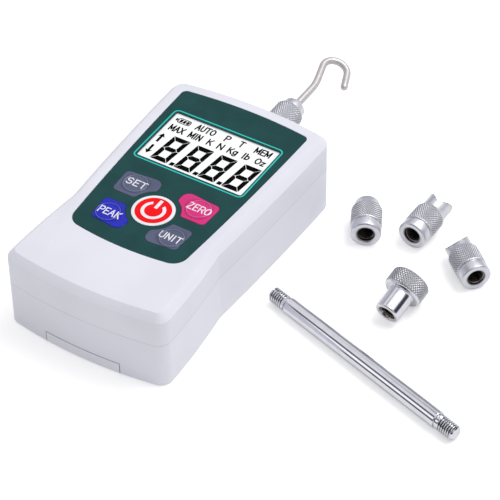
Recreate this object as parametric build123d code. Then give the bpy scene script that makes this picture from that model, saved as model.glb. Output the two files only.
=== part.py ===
"""Hand-held digital force gauge lying on its back, with its hook fitted and a loose set of heads beside it.

Millimetres. +Y runs along the load shaft towards the hook, +Z out of the display, and the origin is
the centre of the flat back of the casing. One STEP file is written for each piece.
"""

from build123d import *
import math
import os

# ---------------------------------------------------------------- driving sizes
# casing plan
casing_length = 121.8
casing_height = 34.2
display_half_width = 34.5
waist_half_width = 31.7
grip_half_width = 34.35
waist_y = -17.5
end_radius = 179.0
display_side_bow = 0.65
grip_side_bow = 0.65
hook_end_corner_radius = 5.5
grip_end_corner_radius = 5.0
waist_crease_radius = 10.0

# casing section
wall = 2.2
seam_height = 20.3
top_bevel = 2.85
base_bevel = 0.7
lip_thickness = 0.9
lip_height = 1.4
fit_gap = 0.1

# control panel
panel_top_y = 54.0
panel_bottom_y = -33.8
panel_top_half_width = 27.8
panel_bottom_half_width = 24.0
panel_side_bow = 0.7
panel_top_radius = 193.0
panel_bottom_radius = 125.0
panel_top_corner = 2.2
panel_bottom_corner = 6.0
panel_recess = 0.6
overlay_thickness = 0.5

# display
window_width = 46.0
window_height = 28.3
window_corner = 0.8
window_y = 25.65
glass_margin = 2.4
glass_thickness = 2.0
backlight_frame = 1.2

# keys
power_y = -11.7
power_radius = 8.2
petal_sweep_radius = 10.25
petal_inner_y = 2.35
petal_outer_y = 13.75
petal_lobe_y = 15.15
petal_lobe_x = 4.75
upper_petal_side = (20.5, 20.0)
lower_petal_side = (18.45, 19.2)
dome_x = 13.85
dome_y = 9.0
dome_radius = 4.8
dome_rise = 0.3
key_thickness = 0.7
key_proud = 0.1
key_gap = 0.08
key_travel = 0.35
key_post_radius = 2.2
switch_side = 6.0
switch_plunger_radius = 1.7

# electronics
board_thickness = 1.6
board_height = 24.8
board_margin = 2.6
board_screw_radius = 1.25
board_boss_radius = 3.2
pilot_gap = 0.03
case_screw_bite = 9.0
board_screw_bite = 5.0
key_pocket_floor = 1.1

# load line
shaft_height = 11.7
shaft_radius = 3.5
thread_radius = 2.95
running_gap = 0.05
shaft_travel = 0.4
stop_clearance = 0.2
shoulder_radius = 5.5
shoulder_length = 2.6
bush_radius = 5.2
bush_flange_radius = 7.0
bush_flange = 1.4
nose_length = 5.6
shaft_thread_length = 9.0
cell_width = 30.0
cell_length = 28.0
cell_thickness = 12.0
cell_slot = 1.5
cell_lip = 6.25
cell_bore_radius = 4.5
cell_bore_pitch = 10.0
bracket_plate = 3.0
bracket_flange = 4.0
bracket_half_width = 27.0
anchor_head_radius = 5.0
anchor_head = 5.6

# back of the casing
stand_pitch_x = 44.0
stand_pitch_y = 26.0
stand_thread_radius = 2.0
insert_radius = 3.0
insert_length = 7.0
insert_flange_radius = 4.2
insert_flange = 1.2
case_screw_radius = 1.5
case_screw_head_radius = 2.9
case_screw_head = 2.2
case_screw_depth = 3.2
case_boss_radius = 4.0
case_screw_inset_x = 6.6
case_screw_inset_y = 9.6

# batteries, size AA
cell_radius = 7.25
battery_length = 49.3
button_radius = 2.6
button_height = 1.2
battery_gap = 0.25
bay_wall = 1.5
contact_plate = 0.5
spring_length = 3.4
spring_wire = 0.45
spring_radius = 3.0
spring_turns = 3
spring_segments = 12

# battery door
door_thickness = 1.8
door_tab_height = 5.4
door_tab_thickness = 1.9
door_gap = 0.15
door_rail_width = 0.8
door_rail_low = 0.9
door_rail_high = 1.65
door_grip_ribs = 6
door_rib_pitch = 1.8
door_rib_depth = 0.4

# hook
hook_wire_radius = 1.35
hook_bend_radius = 5.2
hook_offset = 1.9
hook_shank = 14.1
hook_throat_rise = 12.15
hook_shank_bend = 9.0
hook_lean = 20.0
hook_flare_angle = 21.8
hook_tip_length = 6.7

# knurled barrels
barrel_radius = 6.0
barrel_collar = 4.0
barrel_groove = 0.6
barrel_groove_depth = 0.55
barrel_step = 0.2
barrel_knurl = 9.0
barrel_bore_depth = 10.0
barrel_mouth = 1.0
barrel_chamfer = 0.5
hook_knurl = 12.6
hook_nose_radius = 4.6
hook_nose_ring = 3.7
hook_nose_cone = 2.5
hook_socket = 4.0
cone_land = 3.4
cone_land_radius = 4.8
cone_length = 4.6
cone_tip_radius = 0.3
blade_radius = 4.95
blade_length = 6.6
blade_edge = 0.8
notch_prong_radius = 5.0
notch_prong_length = 8.4
notch_depth = 4.8
flat_head_stem_radius = 4.9
flat_head_stem_length = 9.7
flat_head_mouth = 0.4
flat_head_disc_radius = 7.7
flat_head_disc_length = 7.1
rod_radius = 3.3
rod_length = 94.8
rod_thread_length = 6.6
rod_land_length = 2.0
rod_neck_width = 0.4
rod_neck_depth = 0.35

# places of the loose pieces on the table: mouth or near end x, y, and heading in degrees from +X
cone_place = (58.1, 43.2, 117.5)
notch_place = (73.2, 51.6, 88.3)
chisel_place = (104.9, 43.8, 139.8)
flat_place = (84.8, 11.8, 84.5)
rod_place = (43.2, 0.8, -16.7)
notch_roll = 103.0
chisel_roll = 66.0

# ---------------------------------------------------------------- sizes that follow
stop_gap = shaft_travel + stop_clearance
hook_end_y = casing_length / 2
grip_end_y = -casing_length / 2
recess_floor = casing_height - panel_recess
key_floor = recess_floor - key_thickness + overlay_thickness + key_proud - key_travel - key_gap
cover_inside = key_floor - key_pocket_floor
board_top = board_height + board_thickness
bay_length = battery_length + button_height + 2 * contact_plate + spring_length
bay_near_y = grip_end_y + door_tab_thickness + 0.5
bay_far_y = bay_near_y + bay_length
bay_half_width = 2 * cell_radius + 2 * battery_gap
bay_floor = wall + battery_gap
bay_roof = bay_floor + 2 * cell_radius + battery_gap
battery_z = bay_floor + cell_radius
door_half_width = bay_half_width + 0.2
door_far_y = bay_far_y + 1.4
door_tab_half_width = door_half_width + door_rail_width
bracket_y = bay_far_y + bay_wall + anchor_head + 0.6
cell_y = bracket_y + bracket_flange
cell_front_y = cell_y + cell_length
shoulder_y = cell_front_y + stop_gap
stop_flange_y = shoulder_y + shoulder_length + stop_gap
stop_flange_far_y = stop_flange_y + bracket_flange
end_wall_y = hook_end_y - wall
thread_y = hook_end_y + nose_length
barrel_y = thread_y + 0.6
bracket_top = shaft_height + cell_thickness / 2 + 1.5
stand_y = (cell_y + cell_front_y) / 2
power_centre = Vector(0, power_y)
post_hole_radius = key_post_radius + 0.35

os.makedirs("parts", exist_ok=True)
written = []


def save(name, shape):
    """Write one piece to its STEP file."""
    written.append(name)
    export_step(shape, f"parts/{name}.step")


def mirrored_pair(shape):
    """The shape and its mirror image across the YZ plane."""
    return shape + mirror(shape, Plane.YZ)


def joined(shapes):
    """Separate solids held together as one node."""
    solids = [solid for shape in shapes for solid in shape.solids()]
    return Compound(children=solids) if len(solids) > 1 else solids[0]


def along_y(y):
    """A plane at y whose normal is +Y, with its x axis along +X, on the load line."""
    return Plane(origin=(0, y, shaft_height), x_dir=(1, 0, 0), z_dir=(0, 1, 0))


def rod_y(radius, start, end):
    """A round bar on the load line from one y to another."""
    return extrude(along_y(start) * Circle(radius), end - start)


def post(radius, x, y, low, high):
    """A round bar that stands up from one height to another."""
    return Pos(x, y, low) * extrude(Circle(radius), high - low)


def block(x0, x1, y0, y1, z0, z1):
    """A block between two corners."""
    return Pos((x0 + x1) / 2, (y0 + y1) / 2, (z0 + z1) / 2) * Box(x1 - x0, y1 - y0, z1 - z0)


def end_drop(radius, half):
    """How far an arc of this radius falls away at a half width."""
    return radius - math.sqrt(radius**2 - half**2)


def bowed(start, end, bow):
    """An arc between two points that bows to larger x."""
    return ThreePointArc(start, ((start[0] + end[0]) / 2 + bow, (start[1] + end[1]) / 2), end)


def facing_up(outline):
    """The outline's face, turned over if need be so that its normal is +Z."""
    face = outline.faces()[0]
    return face if face.normal_at().Z > 0 else -face


def grown(outline, amount):
    """The outline offset outwards by an amount, inwards if negative, and drawn afresh as lines and arcs."""
    wire = offset(outline, amount).faces()[0].outer_wire()
    edges = [edge for edge in wire.order_edges() if edge.length > 0.001]
    drawn = []
    for index, edge in enumerate(edges):
        start = edges[index - 1] @ 1
        if edge.geom_type == GeomType.LINE:
            drawn.append(Line(start, edge @ 1))
        else:
            drawn.append(ThreePointArc(start, edge @ 0.5, edge @ 1))
    return facing_up(make_face(Curve() + drawn))


def mirrored_outline(right_side, top, bottom):
    """A face between a top arc, a bottom arc, the right side and its mirror image."""
    right = Curve() + right_side
    return facing_up(make_face(Curve() + [top, *right_side, bottom, *mirror(right, Plane.YZ).edges()]))


def near_corners(face, x, y):
    """The two mirrored corners of an outline nearest to a point."""
    corners = sorted(face.vertices(), key=lambda v: (abs(v.X) - x) ** 2 + (v.Y - y) ** 2)
    return corners[:2]


# ---------------------------------------------------------------- casing
def casing_plan():
    """Bowed ends, bowed display sides that narrow to a creased waist, and a flared grip."""
    hook_corner = (display_half_width, hook_end_y - end_drop(end_radius, display_half_width))
    grip_corner = (grip_half_width, grip_end_y + end_drop(end_radius, grip_half_width))
    waist = (waist_half_width, waist_y)
    side = [bowed(hook_corner, waist, display_side_bow), bowed(waist, grip_corner, grip_side_bow)]
    top = ThreePointArc((-hook_corner[0], hook_corner[1]), (0, hook_end_y), hook_corner)
    bottom = ThreePointArc(grip_corner, (0, grip_end_y), (-grip_corner[0], grip_corner[1]))
    face = mirrored_outline(side, top, bottom)
    face = fillet(near_corners(face, *hook_corner), hook_end_corner_radius)
    face = fillet(near_corners(face, *grip_corner), grip_end_corner_radius)
    return fillet(near_corners(face, *waist), waist_crease_radius)


plan = casing_plan()
cavity_plan = grown(plan, -wall)
block_solid = extrude(plan, casing_height)
block_solid = chamfer(block_solid.edges().group_by(Axis.Z)[-1], top_bevel)
block_solid = chamfer(block_solid.edges().group_by(Axis.Z)[0], base_bevel)
whole = 4 * casing_length
below_seam = block(-whole, whole, -whole, whole, -1, seam_height)
above_seam = block(-whole, whole, -whole, whole, seam_height, casing_height + 1)


def case_screw_places():
    """The four casing screws, set in from the corners."""
    y_hook = hook_end_y - case_screw_inset_y
    y_grip = grip_end_y + case_screw_inset_y
    return [
        (sign * (half - case_screw_inset_x), y)
        for half, y in ((display_half_width, y_hook), (grip_half_width, y_grip))
        for sign in (-1, 1)
    ]


def board_screw_places():
    """The four board screws, inside the board's corners."""
    x_far = panel_top_half_width - 5.8
    x_near = panel_bottom_half_width - 5.0
    return [
        (sign * x, y)
        for x, y in ((x_far, panel_top_y - 7.2), (x_near, panel_bottom_y + 6.8))
        for sign in (-1, 1)
    ]


def panel_plan(clearance=0.0):
    """The panel's outline: bowed top and bottom, sides that follow the casing."""
    top_corner = (
        panel_top_half_width,
        panel_top_y - end_drop(panel_top_radius, panel_top_half_width),
    )
    low_corner = (
        panel_bottom_half_width,
        panel_bottom_y + end_drop(panel_bottom_radius, panel_bottom_half_width),
    )
    side = [bowed(top_corner, low_corner, panel_side_bow)]
    top = ThreePointArc((-top_corner[0], top_corner[1]), (0, panel_top_y), top_corner)
    bottom = ThreePointArc(low_corner, (0, panel_bottom_y), (-low_corner[0], low_corner[1]))
    face = mirrored_outline(side, top, bottom)
    face = fillet(near_corners(face, *top_corner), panel_top_corner)
    face = fillet(near_corners(face, *low_corner), panel_bottom_corner)
    return grown(face, clearance) if clearance else face


def window_plan(grow=0.0):
    """The display window's rounded rectangle."""
    corner = window_corner + max(grow, 0)
    return Pos(0, window_y) * RectangleRounded(window_width + 2 * grow, window_height + 2 * grow, corner)


# ---------------------------------------------------------------- key outlines
def petal_plan(across, along, side):
    """A petal beside the power key: across and along are -1 or 1, side its outer edge's two x values."""
    far_x, near_x = side
    sweep = petal_sweep_radius
    lobe_end = (petal_lobe_x - 0.15, math.sqrt(sweep**2 - (petal_lobe_x - 0.15) ** 2))
    inner_end = (math.sqrt(sweep**2 - petal_inner_y**2), petal_inner_y)
    middle = (math.atan2(lobe_end[1], lobe_end[0]) + math.atan2(inner_end[1], inner_end[0])) / 2
    on_sweep = (sweep * math.cos(middle), sweep * math.sin(middle))
    corners = {
        (far_x, petal_outer_y): 1.8,
        (petal_lobe_x, petal_lobe_y): 3.2,
        lobe_end: 1.8,
        inner_end: 1.2,
        (near_x, petal_inner_y): 1.8,
    }
    far, lobe, _, _, near = corners
    edges = [
        Line(far, lobe),
        Line(lobe, lobe_end),
        ThreePointArc(lobe_end, on_sweep, inner_end),
        Line(inner_end, near),
        Line(near, far),
    ]
    face = make_face(Curve() + edges)
    for (x, y), radius in corners.items():
        corner = min(face.vertices(), key=lambda v: (v.X - x) ** 2 + (v.Y - y) ** 2)
        face = fillet(corner, radius)
    if across < 0:
        face = mirror(face, Plane.YZ)
    if along < 0:
        face = mirror(face, Plane.XZ)
    return Pos(*power_centre) * facing_up(face)


key_plans = {
    "key_set": petal_plan(-1, 1, upper_petal_side),
    "key_zero": petal_plan(1, 1, upper_petal_side),
    "key_peak": petal_plan(-1, -1, lower_petal_side),
    "key_unit": petal_plan(1, -1, lower_petal_side),
    "key_power": Pos(*power_centre) * Circle(power_radius),
}
key_domes = {
    "key_set": (-dome_x, power_y + dome_y),
    "key_zero": (dome_x, power_y + dome_y),
    "key_peak": (-dome_x, power_y - dome_y),
    "key_unit": (dome_x, power_y - dome_y),
    "key_power": (0, power_y),
}


# ---------------------------------------------------------------- covers
def slab(face, low, high):
    """A flat outline made solid from one height to another."""
    return Pos(0, 0, low) * extrude(face, high - low, dir=(0, 0, 1))


def lip_ring(clearance):
    """The tongue that rises from the rear cover into the front one, grown by a clearance."""
    outside = grown(plan, lip_thickness - wall + clearance)
    inside = grown(plan, -wall - clearance) if clearance else cavity_plan
    return slab(outside - inside, seam_height, seam_height + lip_height + clearance)


def make_front_cover():
    """Top shell: recess for the panel, window for the glass, key pockets and screw bosses."""
    cover = block_solid & above_seam
    cover -= slab(cavity_plan, seam_height - 1, cover_inside)
    for x, y in case_screw_places():
        cover += post(case_boss_radius, x, y, seam_height, cover_inside)
        cover -= post(case_screw_radius + pilot_gap, x, y, seam_height - 1, seam_height + case_screw_bite)
    for x, y in board_screw_places():
        cover += post(board_boss_radius, x, y, board_top, cover_inside)
        cover -= post(board_screw_radius + pilot_gap, x, y, board_top - 1, board_top + board_screw_bite)
    cover -= lip_ring(fit_gap)
    cover -= slab(panel_plan(fit_gap), recess_floor, casing_height + 1)
    cover -= slab(window_plan(glass_margin + 0.2), cover_inside - 1, recess_floor + 1)
    for name, outline in key_plans.items():
        x, y = key_domes[name]
        cover -= slab(grown(outline, key_gap), key_floor, casing_height)
        cover -= post(post_hole_radius, x, y, cover_inside - 1, casing_height)
    return cover


def make_rear_cover():
    """Bottom shell: battery bay, door runners, stand holes, shaft hole and screw tubes."""
    cover = block_solid & below_seam
    cover -= slab(cavity_plan, wall, seam_height + 1)
    cover += lip_ring(0)
    room = slab(cavity_plan, 0, seam_height)
    bay_x = bay_half_width + bay_wall
    cover += block(-bay_x, bay_x, grip_end_y, bay_far_y + bay_wall, wall - 0.1, bay_roof + bay_wall) & room
    for x, y in case_screw_places():
        cover += post(case_boss_radius, x, y, wall - 0.1, seam_height)
        cover -= post(case_screw_head_radius + 0.2, x, y, -1, case_screw_depth)
        cover -= post(case_screw_radius + 0.2, x, y, -1, seam_height + 1)
    cover -= block(-bay_half_width, bay_half_width, bay_near_y, bay_far_y, -1, bay_roof)
    opening = door_half_width + door_gap
    cover -= block(-opening, opening, -whole, door_far_y + door_gap, -1, door_thickness + door_gap)
    runner = door_tab_half_width + door_gap
    runner_low = door_rail_low - door_gap
    runner_high = door_rail_high + door_gap
    cover -= block(-runner, runner, -whole, bay_far_y, runner_low, runner_high)
    tab_back = grip_end_y + door_tab_thickness + door_gap
    cover -= block(-runner, runner, -whole, tab_back, -1, door_tab_height + door_gap)
    for x, y in stand_places():
        cover -= post(insert_radius + fit_gap, x, y, -1, wall + 1)
    cover -= rod_y(bush_radius + 0.02, end_wall_y - 1, hook_end_y + 1)
    return cover


def stand_places():
    """The four threaded holes that take a test stand."""
    return [
        (sx * stand_pitch_x / 2, stand_y + sy * stand_pitch_y / 2) for sx in (-1, 1) for sy in (-1, 1)
    ]


def make_battery_door():
    """Sliding door on the back that turns up over the grip end as a thumb tab."""
    reach = grip_end_y - 1
    plate = block(-door_half_width, door_half_width, reach, door_far_y, 0, door_thickness)
    rails = block(
        -door_tab_half_width, door_tab_half_width, grip_end_y, bay_far_y - 2, door_rail_low, door_rail_high
    )
    tab_back = grip_end_y + door_tab_thickness
    tab = block(-door_tab_half_width, door_tab_half_width, reach, tab_back, 0, door_tab_height)
    door = (plate + rails + tab) & block_solid
    for index in range(door_grip_ribs):
        y = grip_end_y + 6 + index * door_rib_pitch
        door -= block(-9, 9, y, y + door_rib_pitch / 2, -1, door_rib_depth)
    return door


def make_case_screws():
    """Pan head screws that hold the two covers together."""
    screws = []
    for x, y in case_screw_places():
        head_low = case_screw_depth - case_screw_head
        head = post(case_screw_head_radius, x, y, head_low, case_screw_depth)
        shank = post(case_screw_radius, x, y, case_screw_depth - 0.1, seam_height + 8)
        screws.append(head + shank - post(1.0, x, y, head_low - 1, head_low + 1.1))
    return joined(screws)


# ---------------------------------------------------------------- panel and keys
def make_overlay():
    """Printed panel film, open over the display and round each key."""
    film = slab(panel_plan(), recess_floor, recess_floor + overlay_thickness)
    film -= slab(window_plan(), recess_floor - 1, casing_height + 1)
    for outline in key_plans.values():
        film -= slab(grown(outline, key_gap), recess_floor - 1, casing_height + 1)
    return film


def make_key(name):
    """A key: petal or disc with a raised dome and the post that works its switch."""
    x, y = key_domes[name]
    top = recess_floor + overlay_thickness + key_proud
    cap = slab(key_plans[name], top - key_thickness, top)
    cap = chamfer(cap.edges().group_by(Axis.Z)[-1], 0.12)
    if name != "key_power":
        dome = post(dome_radius, x, y, top - 0.1, top + dome_rise)
        cap += chamfer(dome.edges().group_by(Axis.Z)[-1], dome_rise * 0.8)
    return cap + post(key_post_radius, x, y, switch_top + 0.45, top - key_thickness + 0.1)


def make_window():
    """Clear lens flush with the panel film."""
    lens = slab(window_plan(-0.03), recess_floor + 0.02, recess_floor + overlay_thickness)
    return lens


def make_glass():
    """Display glass, two panes and their polarisers."""
    glass_top = recess_floor
    return slab(window_plan(glass_margin), glass_top - glass_thickness, glass_top)


def make_backlight():
    """Light guide and frame between the glass and the board."""
    frame = window_plan(glass_margin + backlight_frame)
    tray = slab(frame, board_top, recess_floor - glass_thickness)
    for side in (-1, 1):
        x = side * (window_width / 2 + glass_margin + backlight_frame)
        tray -= post(1.0, x, window_y, board_top - 1, casing_height)
    return tray & slab(frame, board_top, cover_inside - 0.2) + slab(
        window_plan(glass_margin), cover_inside - 0.3, recess_floor - glass_thickness
    )


def make_board():
    """Main circuit board with its controller, amplifier and regulator."""
    outline = panel_plan(-board_margin)
    board = slab(outline, board_height, board_top)
    for x, y in board_screw_places():
        board -= post(board_screw_radius + 0.2, x, y, board_height - 1, board_top + 1)
    for x, y in case_screw_places():
        board -= post(case_boss_radius + 0.5, x, y, board_height - 1, board_top + 1)
    for x, y, wide, deep, tall in ((0, 24, 12, 12, 1.4), (-14, 12, 7, 9, 1.7), (15, 12, 9, 6, 2.0), (0, -27, 8, 5, 2.4)):
        low = board_height - tall
        board += block(x - wide / 2, x + wide / 2, y - deep / 2, y + deep / 2, low, board_height)
    return board


def make_board_screws():
    """Four screws that hang the board from the front cover's bosses."""
    screws = []
    for x, y in board_screw_places():
        head = post(2.3, x, y, board_height - 1.5, board_height)
        shank = post(board_screw_radius, x, y, board_height - 0.1, board_top + 4.5)
        screws.append(head + shank)
    return joined(screws)


def make_switches():
    """One tact switch under each key."""
    switches = []
    for x, y in key_domes.values():
        half = switch_side / 2
        body = block(x - half, x + half, y - half, y + half, board_top, switch_top - 1.2)
        switches.append(body + post(switch_plunger_radius, x, y, switch_top - 1.3, switch_top))
    return joined(switches)


# ---------------------------------------------------------------- load line
def make_load_cell():
    """Bending-beam cell: two slots cut it into an S and twin bores thin its web."""
    half = cell_width / 2
    z0 = shaft_height - cell_thickness / 2
    z1 = shaft_height + cell_thickness / 2
    cell = block(-half, half, cell_y, cell_front_y, z0, z1)
    rear_slot = cell_y + cell_lip
    front_slot = cell_front_y - cell_lip - cell_slot
    cell -= block(-half + 5, half + 1, rear_slot, rear_slot + cell_slot, z0 - 1, z1 + 1)
    cell -= block(-half - 1, half - 5, front_slot, front_slot + cell_slot, z0 - 1, z1 + 1)
    for sign in (-1, 1):
        cell -= post(cell_bore_radius, sign * cell_bore_pitch / 2, stand_y, z0 - 1, z1 + 1)
    cell -= rod_y(thread_radius + running_gap, cell_y - 1, cell_y + cell_lip + 0.5)
    cell -= rod_y(thread_radius + running_gap, cell_front_y - cell_lip - 0.5, cell_front_y + 1)
    return cell


def make_bracket():
    """Steel load bracket: base plate, anchor flange, and a stop flange round the shaft."""
    cell_half = cell_width / 2 + 1
    plate = block(-bracket_half_width, bracket_half_width, bracket_y, stop_flange_far_y, wall, wall + bracket_plate)
    rear = block(-cell_half, cell_half, bracket_y, cell_y, wall, bracket_top)
    front = block(-cell_half, cell_half, stop_flange_y, stop_flange_far_y, wall, bracket_top)
    bracket = plate + rear + front
    bracket -= rod_y(thread_radius + 0.2, bracket_y - 1, cell_y + 0.5)
    bracket -= rod_y(shaft_radius + 0.4, stop_flange_y - 1, stop_flange_far_y + 1)
    for x, y in stand_places():
        bracket -= post(insert_radius + 0.02, x, y, 0, wall + bracket_plate + 1)
    return bracket


def make_anchor_screw():
    """Socket head screw that ties the cell to the bracket."""
    head = rod_y(anchor_head_radius, bracket_y - anchor_head, bracket_y)
    shank = rod_y(thread_radius, bracket_y - 0.1, cell_y + cell_lip - 0.4)
    hexagon = extrude(along_y(bracket_y - anchor_head - 1) * RegularPolygon(2.9, 6), 3.6)
    return head + shank - hexagon


def make_inserts():
    """Four threaded brass inserts for a test stand, clinched over the bracket plate."""
    inserts = []
    flange_low = wall + bracket_plate
    for x, y in stand_places():
        body = post(insert_radius, x, y, 0.2, insert_length)
        flange = post(insert_flange_radius, x, y, flange_low, flange_low + insert_flange)
        inserts.append(body + flange - post(stand_thread_radius, x, y, -1, insert_length + 1))
    return joined(inserts)


def make_shaft():
    """Load shaft: cell stud, stop shoulder, guided bar, and the outside thread."""
    stud = rod_y(thread_radius, cell_front_y - cell_lip + 0.6, shoulder_y + 0.1)
    shoulder = rod_y(shoulder_radius, shoulder_y, shoulder_y + shoulder_length)
    bar = rod_y(shaft_radius, shoulder_y, thread_y)
    thread = rod_y(thread_radius, thread_y - 0.1, thread_y + shaft_thread_length)
    thread = chamfer(thread.edges().group_by(Axis.Y)[-1], 0.5)
    shaft = stud + shoulder + bar + thread
    flat = shaft_radius - 0.7
    for sign in (-1, 1):
        x0, x1 = sorted((sign * flat, sign * (shaft_radius + 1)))
        shaft -= block(x0, x1, thread_y - 4.4, thread_y - 1.2, shaft_height - 5, shaft_height + 5)
    return shaft


def make_bush():
    """Flanged bush that guides the shaft through the hook end wall."""
    seat_y = end_wall_y - end_drop(end_radius - wall, bush_flange_radius)
    body = rod_y(bush_radius, seat_y, hook_end_y - 0.3)
    flange = rod_y(bush_flange_radius, seat_y - bush_flange, seat_y)
    return body + flange - rod_y(shaft_radius + running_gap, end_wall_y - 5, hook_end_y + 5)


# ---------------------------------------------------------------- batteries
def make_battery(sign):
    """One AA cell with its button at the end named by sign."""
    x = sign * (cell_radius + battery_gap / 2)
    middle = (bay_near_y + bay_far_y) / 2 + sign * (spring_length - button_height) / 2
    plane = Plane(origin=(x, middle, battery_z), x_dir=(1, 0, 0), z_dir=(0, sign, 0))
    can = plane * Pos(0, 0, -battery_length / 2) * extrude(Circle(cell_radius), battery_length)
    can = chamfer(can.edges().filter_by(GeomType.CIRCLE), 0.5)
    button = plane * Pos(0, 0, battery_length / 2 - 0.1) * extrude(Circle(button_radius), button_height)
    return can + button


def make_contact_plates():
    """Four contact plates in the ends of the bay."""
    plates = []
    for sign in (-1, 1):
        x = sign * (cell_radius + battery_gap / 2)
        for y in (bay_near_y, bay_far_y - contact_plate):
            plates.append(block(x - 6, x + 6, y, y + contact_plate, bay_floor + 1, bay_roof - 0.2))
    return joined(plates)


def make_springs():
    """Two coil springs, one on the flat end of each cell."""
    springs = []
    for sign in (-1, 1):
        x = sign * (cell_radius + battery_gap / 2)
        seat = bay_near_y + contact_plate if sign > 0 else bay_far_y - contact_plate
        plane = Plane(origin=(x, seat, battery_z), x_dir=(1, 0, 0), z_dir=(0, sign, 0))
        rise = spring_length - 2 * spring_wire - 0.1
        steps = spring_turns * spring_segments
        turn = [(2 * math.pi * step / spring_segments, rise * step / steps) for step in range(steps + 1)]
        path = Polyline(*[(spring_radius * math.cos(a), spring_radius * math.sin(a), z) for a, z in turn])
        profile = Plane(origin=path @ 0, z_dir=path % 0) * Rectangle(2 * spring_wire, 1.4 * spring_wire)
        coil = sweep(profile, path, transition=Transition.RIGHT)
        springs.append(plane * Pos(0, 0, spring_wire + 0.03) * coil)
    return joined(springs)


# ---------------------------------------------------------------- turned heads
def turned(points):
    """A turned piece from (radius, distance along the axis) points, along +Z."""
    outline = Polyline(*[(radius, 0, along) for radius, along in points], close=True)
    return revolve(make_face(outline), Axis.Z)


def barrel_points(knurl, nose):
    """Outline of a screw-on barrel: tapped mouth, collar, groove, knurl, then the nose points."""
    bore = thread_radius + running_gap
    collar_radius = barrel_radius - barrel_step
    knurl_start = barrel_collar + barrel_groove
    knurl_end = knurl_start + knurl
    return [
        (0, barrel_bore_depth),
        (bore, barrel_bore_depth),
        (bore, barrel_mouth),
        (bore + barrel_mouth, 0),
        (collar_radius - barrel_chamfer, 0),
        (collar_radius, barrel_chamfer),
        (collar_radius, barrel_collar),
        (collar_radius - barrel_groove_depth, barrel_collar),
        (collar_radius - barrel_groove_depth, knurl_start),
        (barrel_radius - 0.3, knurl_start),
        (barrel_radius, knurl_start + 0.3),
        (barrel_radius, knurl_end - 0.3),
        (barrel_radius - 0.3, knurl_end),
        *[(radius, knurl_end + along) for radius, along in nose],
        (0, knurl_end + nose[-1][1]),
    ]


def make_hook_barrel():
    """Knurled barrel that carries the hook."""
    far = hook_nose_ring + hook_nose_cone
    nose = [
        (hook_nose_radius + 0.3, 0.0),
        (hook_nose_radius, 0.6),
        (hook_nose_radius, hook_nose_ring),
        (hook_wire_radius + 0.7, far),
    ]
    barrel = turned(barrel_points(hook_knurl, nose))
    length = barrel_collar + barrel_groove + hook_knurl + far
    barrel -= Pos(0, 0, length - hook_socket) * extrude(Circle(hook_wire_radius + 0.01), hook_socket + 1)
    return along_y(barrel_y) * barrel


def make_hook():
    """Round wire hook: shank, lean, throat over the load line, and a flared tip."""
    nose_y = barrel_y + barrel_collar + barrel_groove + hook_knurl + hook_nose_ring + hook_nose_cone
    bend = nose_y + hook_shank
    centre = Vector(hook_offset, bend + hook_throat_rise)
    reach = math.hypot(hook_offset, hook_throat_rise)
    lean = math.asin(hook_bend_radius / reach) - math.atan2(hook_offset, hook_throat_rise)
    along = Vector(-math.sin(lean), math.cos(lean))
    corner = Vector(0, bend)
    touch = corner + along * math.sqrt(reach**2 - hook_bend_radius**2)
    trim = hook_shank_bend * math.tan(lean / 2)
    flare = math.radians(hook_flare_angle)
    leave = centre + Vector(math.cos(flare), math.sin(flare)) * hook_bend_radius
    tip = leave + Vector(math.sin(flare), -math.cos(flare)) * hook_tip_length
    start = Vector(0, nose_y - hook_socket + 0.2)
    shank_end = corner - Vector(0, trim)
    lean_start = corner + along * trim
    path = [Line(start, shank_end)]
    path.append(TangentArc(shank_end, lean_start, tangent=(0, 1)))
    path.append(Line(lean_start, touch))
    path.append(TangentArc(touch, leave, tangent=(along.X, along.Y)))
    path.append(Line(leave, tip))
    section = Plane(origin=start, z_dir=(0, 1, 0)) * Circle(hook_wire_radius)
    wire = sweep(section, Wire(path))
    wire += Pos(tip.X, tip.Y) * Sphere(hook_wire_radius)
    return Pos(0, 0, shaft_height) * Rot(0, hook_lean, 0) * wire


def laid(shape, place, height, roll=0.0):
    """A turned piece laid on the table with its axis level, its mouth at the place, then rolled."""
    x, y, heading = place
    angle = math.radians(heading)
    forward = (math.cos(angle), math.sin(angle), 0)
    sideways = (-math.sin(angle), math.cos(angle), 0)
    return Plane(origin=(x, y, height), x_dir=sideways, z_dir=forward) * Rot(0, 0, roll) * shape


def make_cone_head():
    """Cone head: knurled barrel, tapered land and point."""
    nose = [
        (cone_land_radius + 0.5, 0.3),
        (cone_land_radius, cone_land),
        (cone_tip_radius, cone_land + cone_length),
    ]
    return laid(turned(barrel_points(barrel_knurl, nose)), cone_place, barrel_radius)


def knurl_end():
    """Distance from a head's mouth to the end of its knurl."""
    return barrel_collar + barrel_groove + barrel_knurl


def wedge_cut(half_thickness, length, reach):
    """The two side pieces that a milling cut takes off to leave a wedge."""
    start = knurl_end() + 0.6
    end = knurl_end() + length
    side = Polyline((reach, start), (reach, end + 1), (half_thickness, end + 1), (half_thickness, end), close=True)
    cut = extrude(Plane.XZ * make_face(side), reach, both=True)
    return mirrored_pair(cut)


def make_chisel_head():
    """Chisel head: two milled flats that meet in a straight edge."""
    nose = [(blade_radius, 0.3), (blade_radius, blade_length)]
    head = turned(barrel_points(barrel_knurl, nose))
    head -= wedge_cut(blade_edge / 2, blade_length, barrel_radius + 1)
    return laid(head, chisel_place, barrel_radius, chisel_roll)


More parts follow.
